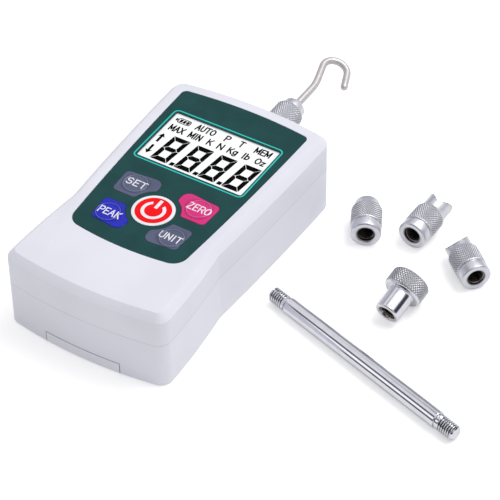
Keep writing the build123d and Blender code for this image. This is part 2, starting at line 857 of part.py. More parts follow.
def make_notch_head():
    """Notch head: a round nose with a right-angled notch across its end."""
    nose = [(notch_prong_radius, 0.3), (notch_prong_radius, notch_prong_length)]
    head = turned(barrel_points(barrel_knurl, nose))
    far = knurl_end() + notch_prong_length
    notch = Polyline((0, far - notch_depth), (notch_depth + 1, far + 1), (-notch_depth - 1, far + 1), close=True)
    head -= extrude(Plane.YZ * make_face(notch), barrel_radius + 1, both=True)
    return laid(head, notch_place, barrel_radius, notch_roll)


def make_flat_head():
    """Flat head: plain tapped stem with a broad knurled disc, leaning on its rims."""
    bore = thread_radius + running_gap
    far = flat_head_stem_length + flat_head_disc_length
    head = turned([
        (0, barrel_bore_depth),
        (bore, barrel_bore_depth),
        (bore, flat_head_mouth),
        (bore + flat_head_mouth, 0),
        (flat_head_stem_radius - barrel_chamfer, 0),
        (flat_head_stem_radius, barrel_chamfer),
        (flat_head_stem_radius, flat_head_stem_length),
        (flat_head_disc_radius - 1.0, flat_head_stem_length),
        (flat_head_disc_radius, flat_head_stem_length + 0.8),
        (flat_head_disc_radius, far - 0.5),
        (flat_head_disc_radius - 0.5, far),
        (0, far),
    ])
    x, y, heading = flat_place
    low_rise = flat_head_disc_radius - flat_head_stem_radius
    tilt = math.degrees(math.atan2(low_rise, flat_head_stem_length + 0.8 - barrel_chamfer))
    lying = laid(head, (0, 0, heading), 0)
    pitched = lying.rotate(Axis((0, 0, 0), (math.sin(math.radians(heading)), -math.cos(math.radians(heading)), 0)), tilt)
    return Pos(x, y, -pitched.bounding_box().min.Z) * pitched


def make_extension_rod():
    """Extension rod: plain bar with a land, a neck and a thread at each end."""
    half = rod_length / 2
    neck = half - rod_thread_length - rod_land_length
    right = [
        (rod_radius, neck - 0.3),
        (rod_radius - 0.3, neck),
        (thread_radius - rod_neck_depth, neck),
        (thread_radius - rod_neck_depth, neck + rod_neck_width),
        (thread_radius, neck + rod_neck_width),
        (thread_radius, half - 0.6),
        (thread_radius - 0.6, half),
        (0, half),
    ]
    left = [(radius, -along) for radius, along in reversed(right)]
    rod = turned(left + right)
    return laid(Pos(0, 0, half) * rod, rod_place, rod_radius)


# ---------------------------------------------------------------- build
switch_top = key_floor - 2.6

save("front_cover", make_front_cover())
save("rear_cover", make_rear_cover())
save("battery_door", make_battery_door())
save("case_screws", make_case_screws())
save("panel_overlay", make_overlay())
for key in key_plans:
    save(key, make_key(key))
save("display_window", make_window())
save("display_glass", make_glass())
save("backlight", make_backlight())
save("main_board", make_board())
save("board_screws", make_board_screws())
save("key_switches", make_switches())
save("load_cell", make_load_cell())
save("load_bracket", make_bracket())
save("anchor_screw", make_anchor_screw())
save("stand_inserts", make_inserts())
save("load_shaft", make_shaft())
save("guide_bush", make_bush())
save("battery_left", make_battery(-1))
save("battery_right", make_battery(1))
save("contact_plates", make_contact_plates())
save("contact_springs", make_springs())
save("hook_barrel", make_hook_barrel())
save("hook", make_hook())
save("cone_head", make_cone_head())
save("notch_head", make_notch_head())
save("chisel_head", make_chisel_head())
save("flat_head", make_flat_head())
save("extension_rod", make_extension_rod())
print(len(written), "pieces written")
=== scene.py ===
"""Dresses the packed force gauge: moulded casing, printed panel, display, knurled heads, hook and rod."""

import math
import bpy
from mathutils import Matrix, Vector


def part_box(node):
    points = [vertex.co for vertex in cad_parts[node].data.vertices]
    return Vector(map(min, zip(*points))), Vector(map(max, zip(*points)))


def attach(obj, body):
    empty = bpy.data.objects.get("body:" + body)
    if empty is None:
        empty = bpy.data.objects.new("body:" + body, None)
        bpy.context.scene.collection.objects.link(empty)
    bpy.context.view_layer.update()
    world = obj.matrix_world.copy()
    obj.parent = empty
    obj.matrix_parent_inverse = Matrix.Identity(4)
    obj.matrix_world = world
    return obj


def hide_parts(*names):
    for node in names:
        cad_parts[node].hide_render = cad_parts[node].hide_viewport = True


bl_info = {
    "name": "Force Gauge",
    "version": (1, 0, 0),
    "blender": (4, 5, 0),
    "location": "View3D > Sidebar > Gauge",
    "description": "Builds the pieces of a hand-held force gauge round its packed frame",
    "category": "Object",
}

import bmesh
import bpy
from bpy.props import FloatProperty, FloatVectorProperty, IntProperty, PointerProperty
from mathutils import Matrix, Vector

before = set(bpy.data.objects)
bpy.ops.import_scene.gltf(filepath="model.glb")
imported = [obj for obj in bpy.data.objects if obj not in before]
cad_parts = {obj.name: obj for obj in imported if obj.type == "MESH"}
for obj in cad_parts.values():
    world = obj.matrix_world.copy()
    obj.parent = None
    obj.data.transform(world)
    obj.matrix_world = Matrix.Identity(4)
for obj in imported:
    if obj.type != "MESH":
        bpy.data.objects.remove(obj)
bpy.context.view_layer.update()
MM = 0.001


# ---------------------------------------------------------------- settings
def length(name, description, default):
    """A size in metres that a user may change."""
    kind = {"subtype": "DISTANCE", "unit": "LENGTH", "precision": 5}
    return FloatProperty(name=name, description=description, default=default, min=0.0, **kind)


def tint(name, description, default):
    """A linear colour that a user may change."""
    kind = {"subtype": "COLOR", "size": 3, "min": 0.0, "max": 1.0}
    return FloatVectorProperty(name=name, description=description, default=default, **kind)


def number(name, description, default, low=-360.0, high=360.0):
    """A plain number that a user may change."""
    return FloatProperty(name=name, description=description, default=default, min=low, max=high)


class CasingSettings(bpy.types.PropertyGroup):
    """The moulded covers and the battery door."""

    colour: tint("Plastic", "Colour of the moulded covers", (0.80, 0.80, 0.875))
    door_colour: tint("Door", "Colour of the battery door", (0.82, 0.82, 0.89))
    edge: length("Edge softness", "Width of the softened edges", 0.3 * MM)
    grain: length("Grain depth", "Depth of the moulded grain", 0.012 * MM)


class PanelSettings(bpy.types.PropertyGroup):
    """The printed film and its keys."""

    film: tint("Film", "Colour of the panel film", (0.0165, 0.066, 0.067))
    outline: tint("Outline", "Colour of the line round the display", (0.030, 0.60, 0.53))
    slate: tint("Slate keys", "Colour of the SET and UNIT keys", (0.097, 0.112, 0.192))
    pink: tint("Pink key", "Colour of the ZERO key", (0.73, 0.024, 0.215))
    blue: tint("Blue key", "Colour of the PEAK key", (0.010, 0.017, 0.47))
    red: tint("Red key", "Colour of the power key", (0.95, 0.008, 0.012))
    white: tint("White ink", "Colour of the lettering", (0.88, 0.88, 0.92))


class DisplaySettings(bpy.types.PropertyGroup):
    """The liquid crystal display."""

    face: tint("Face", "Colour of the lit background", (0.95, 0.96, 0.96))
    ink: tint("Segments", "Colour of a dark segment", (0.002, 0.002, 0.002))
    slant: number("Slant", "Lean of the digits, across per up", 0.105, 0.0, 1.0)
    stroke: length("Stroke", "Width of a digit's segments", 2.3 * MM)


class MetalSettings(bpy.types.PropertyGroup):
    """The turned and plated metal."""

    plate: tint("Plating", "Colour of the bright plating", (0.70, 0.70, 0.745))
    wire: tint("Wire", "Colour of the hook's wire", (0.57, 0.545, 0.55))
    satin: tint("Satin plating", "Colour of the knurled barrels", (0.66, 0.66, 0.71))
    teeth: IntProperty(name="Knurl teeth", description="Teeth round a barrel", default=38, min=8)
    knurl_depth: length("Knurl depth", "Depth of the diamond knurl", 0.25 * MM)
    knurl_lead: length("Knurl lead", "Length of a diamond along the barrel", 1.2 * MM)
    thread_pitch: length("Thread pitch", "Distance from crest to crest", 1.0 * MM)
    thread_depth: length("Thread depth", "Depth from crest to root", 0.56 * MM)


class StageSettings(bpy.types.PropertyGroup):
    """Camera, lamps and floor."""

    azimuth: number("Azimuth", "Camera's turn about the upright axis, in degrees", 32.42)
    elevation: number("Elevation", "Camera's height angle, in degrees", 43.134)
    roll: number("Roll", "Camera's tilt about its view, in degrees", -1.033)
    distance: length("Distance", "Camera to the point it looks at", 0.90697)
    lens: number("Lens", "Focal length on a 36 mm sensor", 172.8, 10.0, 500.0)
    ambient: number("Ambient", "Strength of the light from all round", 0.64, 0.0, 4.0)
    overhead: number("Overhead", "Power of the soft lamp overhead, in watts", 6.5, 0.0, 100.0)


SETTINGS = {
    "gauge_casing": CasingSettings,
    "gauge_panel": PanelSettings,
    "gauge_display": DisplaySettings,
    "gauge_metal": MetalSettings,
    "gauge_stage": StageSettings,
}


# ---------------------------------------------------------------- node graphs
class Wire:
    """A node's output, used in arithmetic as a number is."""

    def __init__(self, nodes, socket):
        self.nodes = nodes
        self.socket = socket

    def math(self, operation, *values):
        """One Math node on this wire and the values after it."""
        return self.nodes.add("ShaderNodeMath", {"operation": operation}, [self, *values])

    def __add__(self, other):
        return self.math("ADD", other)

    def __mul__(self, other):
        return self.math("MULTIPLY", other)

    def __sub__(self, other):
        return self.math("SUBTRACT", other)

    def __truediv__(self, other):
        return self.math("DIVIDE", other)

    def __rsub__(self, other):
        return self.nodes.add("ShaderNodeMath", {"operation": "SUBTRACT"}, [other, self])

    def __neg__(self):
        return self * -1.0

    __radd__ = __add__
    __rmul__ = __mul__

    def out(self, key):
        """Another output of the same node."""
        return Wire(self.nodes, self.socket.node.outputs[key])

    def wave(self):
        """A triangle wave of the wire: 0 at whole numbers, 1 half way between."""
        return self.math("PINGPONG", 0.5) * 2.0

    def step(self, low, high):
        """A smooth rise from 0 at low to 1 at high."""
        span = {"Value": self, "From Min": low, "From Max": high}
        return self.nodes.add("ShaderNodeMapRange", {"interpolation_type": "SMOOTHSTEP"}, span)


class Nodes:
    """A node tree that nodes are added to by type, settings and inputs."""

    def __init__(self, tree):
        self.tree = tree
        tree.nodes.clear()
        if tree.type == "SHADER":
            self.place = self.add("ShaderNodeTexCoord", output="Object")

    def add(self, kind, settings=None, inputs=(), output=0):
        """A node of a kind, with its settings, its inputs by name or in order, and one output."""
        node = self.tree.nodes.new(kind)
        for key, value in (settings or {}).items():
            setattr(node, key, value)
        for key, value in inputs.items() if isinstance(inputs, dict) else enumerate(inputs):
            if isinstance(value, Wire):
                self.tree.links.new(value.socket, node.inputs[key])
            else:
                node.inputs[key].default_value = value
        return Wire(self, node.outputs[output]) if len(node.outputs) else node

    def attribute(self, label):
        """A number that is stored at each point of the mesh."""
        if self.tree.type == "SHADER":
            return self.add("ShaderNodeAttribute", {"attribute_name": label}, output="Fac")
        return self.add("GeometryNodeInputNamedAttribute", {"data_type": "FLOAT"}, {"Name": label})

    def blend(self, factor, first, second):
        """A colour between two colours."""
        settings = {"data_type": "RGBA"}
        return self.add("ShaderNodeMix", settings, {0: factor, 6: opaque(first), 7: opaque(second)}, 2)

    def noise(self, grain, detail=2.0, stretch=(1, 1, 1)):
        """Noise whose features are about a grain wide, in millimetres."""
        scale = tuple(part / (grain * MM) for part in stretch)
        scaled = self.add("ShaderNodeMapping", inputs={"Vector": self.place, "Scale": scale})
        return self.add("ShaderNodeTexNoise", inputs={"Vector": scaled, "Scale": 1.0, "Detail": detail})

    def mottled(self, factor, colour, dark, light):
        """A colour that varies a little between a darker and a lighter share of itself."""
        return self.blend(factor, shade(colour, dark), shade(colour, light))

    def bump(self, height, depth):
        """A normal raised by a height of 0 to 1 times a depth in millimetres."""
        return self.add("ShaderNodeBump", inputs={"Strength": 1.0, "Distance": depth * MM, "Height": height})


def opaque(colour):
    """A colour with its alpha, or a wire as it is."""
    return colour if isinstance(colour, Wire) else (*tuple(colour)[:3], 1.0)


def shade(colour, factor):
    """A colour made darker or lighter by a factor."""
    return tuple(min(1.0, part * factor) for part in tuple(colour)[:3])


def finish(build):
    """Turns a function that returns the inputs of a Principled shader into a maker of named materials."""

    def make(name, *values, **named):
        if name in bpy.data.materials:
            return bpy.data.materials[name]
        material = bpy.data.materials.new(name)
        material.use_nodes = True
        nodes = Nodes(material.node_tree)
        shader = nodes.add("ShaderNodeBsdfPrincipled", inputs=build(nodes, *values, **named))
        nodes.add("ShaderNodeOutputMaterial", inputs={"Surface": shader})
        return material

    make.__doc__ = build.__doc__
    return make


@finish
def moulded(nodes, colour, depth, rough=0.46, joints=()):
    """Satin moulded plastic with a spark grain, darker along its joints (axis, place, width, share)."""
    grain = nodes.noise(0.35, 3.0)
    speck = nodes.noise(0.9).step(0.66, 0.74)
    base = nodes.mottled(nodes.noise(24, 1.0).step(0.35, 0.65), colour, 0.975, 1.012)
    base = nodes.blend(speck * 0.25, base, shade(colour, 0.93))
    parts = nodes.add("ShaderNodeSeparateXYZ", inputs=[nodes.place])
    # Painted shade: each line darkens the colour in a thin band, standing for the shadow in a parting seam or
    # gap.
    for axis, at, wide, share in joints:
        far = (parts.out(axis) - at * MM).math("ABSOLUTE")
        line = (1.0 - far.step(wide * 0.5 * MM, wide * MM)) * share
        base = nodes.blend(line, base, shade(colour, 0.4))
    return {
        "Base Color": base,
        "Roughness": grain * 0.16 + (rough - 0.08),
        "Normal": nodes.bump(grain, depth),
        "Specular IOR Level": 0.42,
    }


@finish
def film(nodes, colour, rough=0.34, depth=0.004, gloss=0.06, embossed=False):
    """Printed polyester film with a velvet grain, paler on an embossed ring and darker round its foot."""
    grain = nodes.noise(0.16)
    base = nodes.mottled(nodes.noise(9).step(0.3, 0.7), colour, 0.93, 1.08)
    if embossed:
        # Painted light: the crest attribute makes the ring paler and bluish as a painted highlight, and the
        # foot darker as painted shade.
        crest = nodes.attribute("crest")
        pale = [part * 0.8 + lift for part, lift in zip(colour, (0.14, 0.15, 0.23))]
        base = nodes.blend(crest.math("MAXIMUM", 0.0), base, pale)
        base = nodes.blend((-crest).math("MAXIMUM", 0.0), base, shade(colour, 0.55))
    return {
        "Base Color": nodes.blend(grain.step(0.55, 0.75) * 0.10, base, shade(colour, 1.5)),
        "Roughness": grain * 0.14 + (rough - 0.07),
        "Normal": nodes.bump(grain, depth),
        "Specular IOR Level": gloss,
    }


@finish
def ink(nodes, colour, rough=0.4, gloss=0.2):
    """A screen printed ink layer."""
    grain = nodes.noise(0.12)
    return {
        "Base Color": nodes.mottled(grain, colour, 0.94, 1.04),
        "Roughness": grain * 0.1 + (rough - 0.05),
        "Normal": nodes.bump(grain, 0.002),
        "Specular IOR Level": gloss,
    }


@finish
def plated(nodes, colour, rough, marks, metal=1.0, valley_shade=None):
    """Plated metal with fine marks. With a valley's share of the colour, its knurl is darker in the
    valleys, its bore dark, and its marks run round as the tool's did."""
    cloud = nodes.noise(3.5, 3.0)
    base = nodes.mottled(cloud.step(0.3, 0.7), colour, 0.955, 1.03)
    roughness = cloud * 0.09 + (rough - 0.07)
    if valley_shade is None:
        rings = nodes.noise(0.2)
    else:
        turning = {"W": nodes.attribute("along") * 9000.0, "Scale": 1.0, "Detail": 2.0}
        rings = nodes.add("ShaderNodeTexNoise", {"noise_dimensions": "1D"}, turning)
        height = nodes.attribute("relief")
        inside = nodes.attribute("bore")
        # Painted shade: the knurl's valleys and the thread's roots darken to the given share of the colour.
        base = nodes.blend(height.step(0.0, 0.9), shade(colour, valley_shade), base)
        # Painted light in the bore: thread crests pale near the mouth as a painted glint, darkening inward as
        # painted shade.
        crest = nodes.blend(inside.step(0.0, 0.7), (0.32, 0.285, 0.26), (0.06, 0.05, 0.045))
        # Painted shade: near black in the thread's roots inside the bore.
        painted_bore_shade = nodes.blend(height.step(0.45, 1.0), (0.004, 0.003, 0.003), crest)
        # Painted shade: the bore takes these colours from just inside its mouth.
        base = nodes.blend(inside.step(0.03, 0.12), base, painted_bore_shade)
        roughness = roughness + (1.0 - height) * 0.12 + nodes.attribute("knurl") * 0.14
    return {
        "Base Color": base,
        "Metallic": metal,
        "Roughness": roughness + rings * 0.06,
        "Normal": nodes.bump(rings, marks),
    }


@finish
def machined(nodes, colour, rough=0.3, metal=1.0, stretch=(1, 14, 14)):
    """Milled, ground or plated metal with a directional grain."""
    lines = nodes.noise(1.2, 3.0, stretch)
    return {
        "Base Color": nodes.mottled(nodes.noise(6).step(0.3, 0.7), colour, 0.9, 1.06),
        "Metallic": metal,
        "Roughness": lines * 0.2 + (rough - 0.1),
        "Normal": nodes.bump(lines, 0.006),
    }


@finish
def clear(nodes, colour, alpha):
    """A clear hard-coated lens with faint hairlines."""
    hair = nodes.noise(0.8, 4.0, (1, 9, 1))
    return {
        "Base Color": opaque(colour),
        "Roughness": hair * 0.04 + 0.03,
        "Alpha": hair.step(0.62, 0.8) * 0.03 + alpha,
        "Normal": nodes.bump(hair, 0.0006),
        "Specular IOR Level": 0.08,
    }


@finish
def lit(nodes, colour, glow):
    """The display's lit background: a faint pearl over white, with a little light of its own."""
    pearl = nodes.noise(0.25)
    base = nodes.mottled(pearl, colour, 0.985, 1.02)
    return {
        "Base Color": base,
        "Emission Color": base,
        "Emission Strength": glow,
        "Roughness": pearl * 0.08 + 0.28,
    }


@finish
def circuit(nodes, colour):
    """Green solder mask over copper runs."""
    cells = nodes.add("ShaderNodeMapping", inputs={"Vector": nodes.place, "Scale": (520.0, 520.0, 0.0)})
    pattern = {"distance": "MANHATTAN", "feature": "F2"}
    runs = nodes.add("ShaderNodeTexVoronoi", pattern, {"Vector": cells, "Scale": 1.0}).step(0.55, 0.62)
    return {
        "Base Color": nodes.mottled(runs, colour, 0.8, 1.7),
        "Roughness": runs * 0.1 + 0.28,
        "Normal": nodes.bump(runs, 0.03),
    }


# ---------------------------------------------------------------- objects
def linked(name, data):
    """An object in the scene for a mesh, a lamp or a camera."""
    obj = bpy.data.objects.new(name, data)
    bpy.context.scene.collection.objects.link(obj)
    return obj


def piece(name, mesh, body, material, instead_of=()):
    """Puts a finished mesh in the scene on its body, with its material and slot."""
    obj = linked(name, mesh)
    mesh.materials.clear()
    mesh.materials.append(material)
    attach(obj, body)
    if instead_of:
        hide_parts(*instead_of)
    return obj


def refinish(material, *nodes):
    """Gives CAD nodes that stay a better material."""
    for node in nodes:
        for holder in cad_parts[node].material_slots:
            holder.link = "OBJECT"
            holder.material = material


def settled(obj):
    """The plain mesh of an object with its modifiers worked out, and the object gone."""
    graph = bpy.context.evaluated_depsgraph_get()
    evaluated = obj.evaluated_get(graph)
    mesh = bpy.data.meshes.new_from_object(evaluated, preserve_all_data_layers=True, depsgraph=graph)
    old = obj.data
    bpy.data.objects.remove(obj)
    bpy.data.meshes.remove(old)
    return mesh


def smooth_by_angle(mesh, degrees):
    """Smooth faces with sharp edges above an angle."""
    mesh.shade_smooth()
    mesh.set_sharp_from_angle(angle=math.radians(degrees))


def box(node):
    """The low and high corners of a CAD node, in millimetres."""
    return [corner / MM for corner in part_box(node)]


def softened(node, width, segments=3, limit=28.0, weigh=None):
    """A merged copy of a CAD node's mesh with its sharp edges rounded, each by its own share of the width."""
    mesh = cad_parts[node].data.copy()
    work = bmesh.new()
    work.from_mesh(mesh)
    bmesh.ops.remove_doubles(work, verts=work.verts, dist=0.002 * MM)
    bmesh.ops.dissolve_limit(work, angle_limit=math.radians(0.4), verts=work.verts, edges=work.edges)
    layer = work.edges.layers.float.new("bevel_weight_edge")
    for edge in work.edges:
        angle = math.degrees(edge.calc_face_angle(0.0))
        if angle > limit:
            middle = (edge.verts[0].co + edge.verts[1].co) / 2
            edge[layer] = weigh(middle / MM, angle) if weigh else 1.0
    work.to_mesh(mesh)
    work.free()
    for name in ("custom_normal", "sharp_edge", "sharp_face"):
        if name in mesh.attributes:
            mesh.attributes.remove(mesh.attributes[name])
    obj = linked(node + "_soft", mesh)
    bevel = obj.modifiers.new("Edges", "BEVEL")
    bevel.width = width
    bevel.segments = segments
    bevel.limit_method = "WEIGHT"
    bevel.miter_outer = "MITER_ARC"
    bevel.use_clamp_overlap = True
    mesh = settled(obj)
    smooth_by_angle(mesh, 32)
    return mesh


def carved(mesh, cutter):
    """A mesh with a cutter's shape taken away."""
    obj = linked("blank", mesh)
    tool = linked("tool", cutter)
    cut = obj.modifiers.new("Cut", "BOOLEAN")
    cut.operation = "DIFFERENCE"
    cut.solver = "EXACT"
    cut.object = tool
    result = settled(obj)
    bpy.data.objects.remove(tool)
    return result


# ---------------------------------------------------------------- outlines, in millimetres
def spread(first, last, count):
    """Evenly spaced numbers, both ends included."""
    return [first + (last - first) * i / (count - 1) for i in range(count)]


def arc(centre, radius, start, end, count):
    """Points on an arc, angles in degrees."""
    angles = spread(math.radians(start), math.radians(end), count)
    return [(centre[0] + radius * math.cos(angle), centre[1] + radius * math.sin(angle)) for angle in angles]


def rounded_box(x0, x1, y0, y1, radius, count=9):
    """A rectangle with round corners, anticlockwise."""
    left, right, low, high = x0 + radius, x1 - radius, y0 + radius, y1 - radius
    points = []
    for turn, middle in enumerate(((right, low), (right, high), (left, high), (left, low))):
        points += arc(middle, radius, turn * 90 - 90, turn * 90, count)
    return points


def rows(start, end, count, knurl=0.0, thread=0.0):
    """Profile rows between two (radius, along) points, both included."""
    return [
        (radius, along, knurl, thread)
        for radius, along in zip(spread(start[0], end[0], count + 1), spread(start[1], end[1], count + 1))
    ]


def plain(*points):
    """Profile rows with neither knurl nor thread."""
    return [(radius, along, 0.0, 0.0) for radius, along in points]


def lifted(profile, by):
    """Profile rows moved along the axis."""
    return [(radius, along + by, knurl, thread) for radius, along, knurl, thread in profile]


# ---------------------------------------------------------------- meshes
def shell(name, *parts, looped=False, capped=False):
    """A closed mesh of parts. Each part is a list of rings of points in millimetres, one point for a pole
    or as many as the fullest ring, joined in turn, back to the first if looped, or with filled ends."""
    work = bmesh.new()
    for part in parts:
        rings = [[work.verts.new([side * MM for side in point]) for point in ring] for ring in part]
        steps = max(len(ring) for ring in rings)
        for near, far in zip(rings, rings[1:] + rings[:looped]):
            for i, j in zip(range(steps), [*range(1, steps), 0]):
                corners = (near[i % len(near)], near[j % len(near)], far[j % len(far)], far[i % len(far)])
                unique = list(dict.fromkeys(corners))
                if len(unique) > 2:
                    work.faces.new(unique)
        for end in (rings[0], rings[-1]) if capped else ():
            work.faces.new(end)
    bmesh.ops.recalc_face_normals(work, faces=work.faces)
    mesh = bpy.data.meshes.new(name)
    work.to_mesh(mesh)
    work.free()
    return mesh


def joined(name, meshes):
    """Several meshes as one."""
    work = bmesh.new()
    for mesh in meshes:
        work.from_mesh(mesh)
        bpy.data.meshes.remove(mesh)
    mesh = bpy.data.meshes.new(name)
    work.to_mesh(mesh)
    work.free()
    return mesh


def store(mesh, label, values):
    """Keeps a number at each point of a mesh."""
    mesh.attributes.new(label, "FLOAT", "POINT").data.foreach_set("value", values)


def hoop(middle, side, up, radius, steps):
    """A ring of points round a middle, or the middle alone where the radius is 0."""
    if radius < 1e-4:
        return [middle]
    return [middle + (side * math.cos(turn) + up * math.sin(turn)) * radius for turn in turns(steps)]


def turns(count):
    """Evenly spaced angles round a circle."""
    return [math.tau * i / count for i in range(count)]


def block(name, loop, low, high, axis="Z"):
    """A prism over one outline."""
    return shell(name, *slab([loop], low, high, axis), capped=True)


def slab(loops, low, high, axis="Z"):
    """Parts of a shell: flat outlines of (a, b) points drawn out from low to high along an axis."""
    order = {"X": (2, 0, 1), "Y": (0, 2, 1), "Z": (0, 1, 2)}[axis]
    return [[[[(a, b, level)[i] for i in order] for a, b in loop] for level in (low, high)] for loop in loops]


def sections(outer, inner, low, high, follow=None):
    """Part of a shell: four-cornered cross-sections between two lines with as many points each."""

    def lift(x, y):
        return follow(x, y) if follow else 0.0

    return [
        [(*a, low + lift(*a)), (*a, high + lift(*a)), (*b, high + lift(*b)), (*b, low + lift(*b))]
        for a, b in zip(outer, inner)
    ]


def lathe(name, profile, steps):
    """A closed turned mesh round Z. The profile lists (radius, along, knurl, thread) rows, pole to pole or
    in a loop, and starts at the bottom of the bore where there is one."""
    across, up = Vector((1, 0, 0)), Vector((0, 1, 0))
    rings = [hoop(Vector((0, 0, along)), across, up, radius, steps) for radius, along, *_ in profile]
    mesh = shell(name, rings, looped=len(rings[0]) > 1)
    levels = [along for _, along, *_ in profile]
    mouth = levels.index(min(levels)) if levels[0] > 0 else 0
    values = {"along": [], "around": [], "knurl": [], "thread": [], "bore": []}
    for row, ((_, along, knurl, thread), ring) in enumerate(zip(profile, rings)):
        values["around"] += [i / steps for i in range(len(ring))]
        inside = min(1.0, along / BORE_SHADE) if row < mouth else 0.0
        for key, value in (("along", along * MM), ("knurl", knurl), ("thread", thread), ("bore", inside)):
            values[key] += [value] * len(ring)
    for key, numbers in values.items():
        store(mesh, key, numbers)
    return mesh


def tube(name, points, radii, steps, normal):
    """A closed round tube along a flat path, with a radius at each point and its ends drawn to poles."""
    rings, along, travelled = [], [], 0.0
    for i, (point, radius) in enumerate(zip(points, radii)):
        before, after = points[max(i - 1, 0)], points[min(i + 1, len(points) - 1)]
        forward = (after - before).normalized()
        side = forward.cross(normal).normalized()
        travelled += (point - before).length
        rings.append(hoop(point, side, side.cross(forward), radius, steps))
        along += [travelled * MM] * len(rings[-1])
    mesh = shell(name, rings)
    store(mesh, "along", along)
    return mesh


def laid(mesh, place, height, roll=0.0, tilt=0.0):
    """A turned mesh laid on the table: its mouth at (x, y), its axis along a heading in degrees."""
    x, y, heading = place
    heading, tilt = math.radians(heading), math.radians(tilt)
    flat = Vector((math.cos(heading), math.sin(heading), 0))
    forward = flat * math.cos(tilt) + Vector((0, 0, math.sin(tilt)))
    across = Vector((-flat.y, flat.x, 0))
    turn = Matrix((across, forward.cross(across), forward)).transposed().to_4x4()
    own = Matrix.Rotation(math.radians(roll), 4, "Z")
    mesh.transform(Matrix.Translation(Vector((x, y, height)) * MM) @ turn @ own)
    mesh.update()
    return mesh


def along_y(mesh, place, way=1):
    """A turned mesh with its mouth at a place and its axis along Y, or against it."""
    turn = Matrix(((1, 0, 0), (0, 0, -way), (0, way, 0))).transposed().to_4x4()
    mesh.transform(Matrix.Translation(Vector(place) * MM) @ turn)
    mesh.update()
    return mesh


# ---------------------------------------------------------------- geometry node trees
def geometry_tree(name, inputs):
    """Makes a geometry node tree once, from a function of its nodes and inputs that returns geometry."""

    def wrap(build):
        def tree():
            if name in bpy.data.node_groups:
                return bpy.data.node_groups[name]
            group = bpy.data.node_groups.new(name, "GeometryNodeTree")
            nodes = Nodes(group)
            for label, kind in (("Geometry", "Geometry"), *inputs, ("Material", "Material")):
                group.interface.new_socket(label, in_out="INPUT", socket_type="NodeSocket" + kind)
            group.interface.new_socket("Geometry", in_out="OUTPUT", socket_type="NodeSocketGeometry")
            entry = nodes.add("NodeGroupInput")
            real = nodes.add("GeometryNodeRealizeInstances", inputs=[build(nodes, entry)])
            painting = {"Geometry": real, "Material": entry.out("Material")}
            nodes.add("NodeGroupOutput", inputs=[nodes.add("GeometryNodeSetMaterial", inputs=painting)])
            return group

        tree.__doc__ = build.__doc__
        return tree

    return wrap


CUTTING_INPUTS = (
    ("Teeth", "Int"),
    ("Knurl Lead", "Float"),
    ("Knurl Depth", "Float"),
    ("Thread Pitch", "Float"),
    ("Thread Depth", "Float"),
)


@geometry_tree("Knurl and Thread", CUTTING_INPUTS)
def cutting_tree(nodes, entry):
    """Rolls a diamond knurl and cuts a thread into a turned mesh."""
    around, along = nodes.attribute("around"), nodes.attribute("along")
    turn = around * entry.out("Teeth")
    slide = along / entry.out("Knurl Lead")
    diamond = (turn + slide).wave().math("MINIMUM", (turn - slide).wave())
    diamond = (diamond * 1.18).math("MINIMUM", 1.0)
    helix = (along / entry.out("Thread Pitch") - around).wave()
    crest = (helix * 1.28 - 0.06).math("MINIMUM", 1.0).math("MAXIMUM", 0.0)
    knurled = nodes.attribute("knurl") * (1.0 - diamond)
    cut = nodes.attribute("thread") * (1.0 - crest)
    depth = knurled * entry.out("Knurl Depth") + cut * entry.out("Thread Depth")
    position = nodes.add("GeometryNodeInputPosition")
    flat = nodes.add("ShaderNodeVectorMath", {"operation": "MULTIPLY"}, [position, (1.0, 1.0, 0.0)])
    outward = nodes.add("ShaderNodeVectorMath", {"operation": "NORMALIZE"}, [flat])
    move = nodes.add("ShaderNodeVectorMath", {"operation": "SCALE"}, {"Vector": outward, "Scale": -depth})
    moved = nodes.add("GeometryNodeSetPosition", inputs={"Geometry": entry, "Offset": move})
    relief = 1.0 - knurled.math("MAXIMUM", cut)
    keeping = {"Geometry": moved, "Name": "relief", "Value": relief}
    return nodes.add("GeometryNodeStoreNamedAttribute", {"data_type": "FLOAT", "domain": "POINT"}, keeping)


@geometry_tree("Copies at Points", (("Piece", "Object"),))
def copies_tree(nodes, entry):
    """Sets a copy of a mesh at every point, turned by the point's own angle."""
    angle = nodes.add("ShaderNodeCombineXYZ", inputs={"Z": nodes.attribute("turn")})
    source = nodes.add("GeometryNodeObjectInfo", inputs={"Object": entry.out("Piece")}, output="Geometry")
    placing = {"Points": entry, "Instance": source, "Rotation": angle}
    return nodes.add("GeometryNodeInstanceOnPoints", inputs=placing)


def run_tree(name, mesh, tree, values):
    """The mesh that a tree makes of a mesh, with the tree's inputs set by their labels."""
    obj = linked(name, mesh)
    modifier = obj.modifiers.new(tree.name, "NODES")
    modifier.node_group = tree
    for item in tree.interface.items_tree:
        if item.name in values:
            modifier[item.identifier] = values[item.name]
    return settled(obj)


def cut_metal(name, profile, steps, material, changes=None):
    """A turned mesh with its knurl and thread cut."""
    metal = bpy.context.scene.gauge_metal
    values = {
        "Teeth": metal.teeth,
        "Knurl Lead": metal.knurl_lead,
        "Knurl Depth": metal.knurl_depth,
        "Thread Pitch": metal.thread_pitch,
        "Thread Depth": metal.thread_depth,
        "Material": material,
        **(changes or {}),
    }
    mesh = run_tree(name, lathe(name, profile, steps), cutting_tree(), values)
    smooth_by_angle(mesh, 38)
    return mesh


def copied(name, mesh, places, material):
    """Copies of a mesh at places (x, y, z, turn)."""
    points = bpy.data.meshes.new(name + "_points")
    points.from_pydata([Vector(place[:3]) * MM for place in places], [], [])
    store(points, "turn", [place[3] for place in places])
    source = linked(name + "_source", mesh)
    result = run_tree(name, points, copies_tree(), {"Piece": source, "Material": material})
    bpy.data.objects.remove(source)
    return result


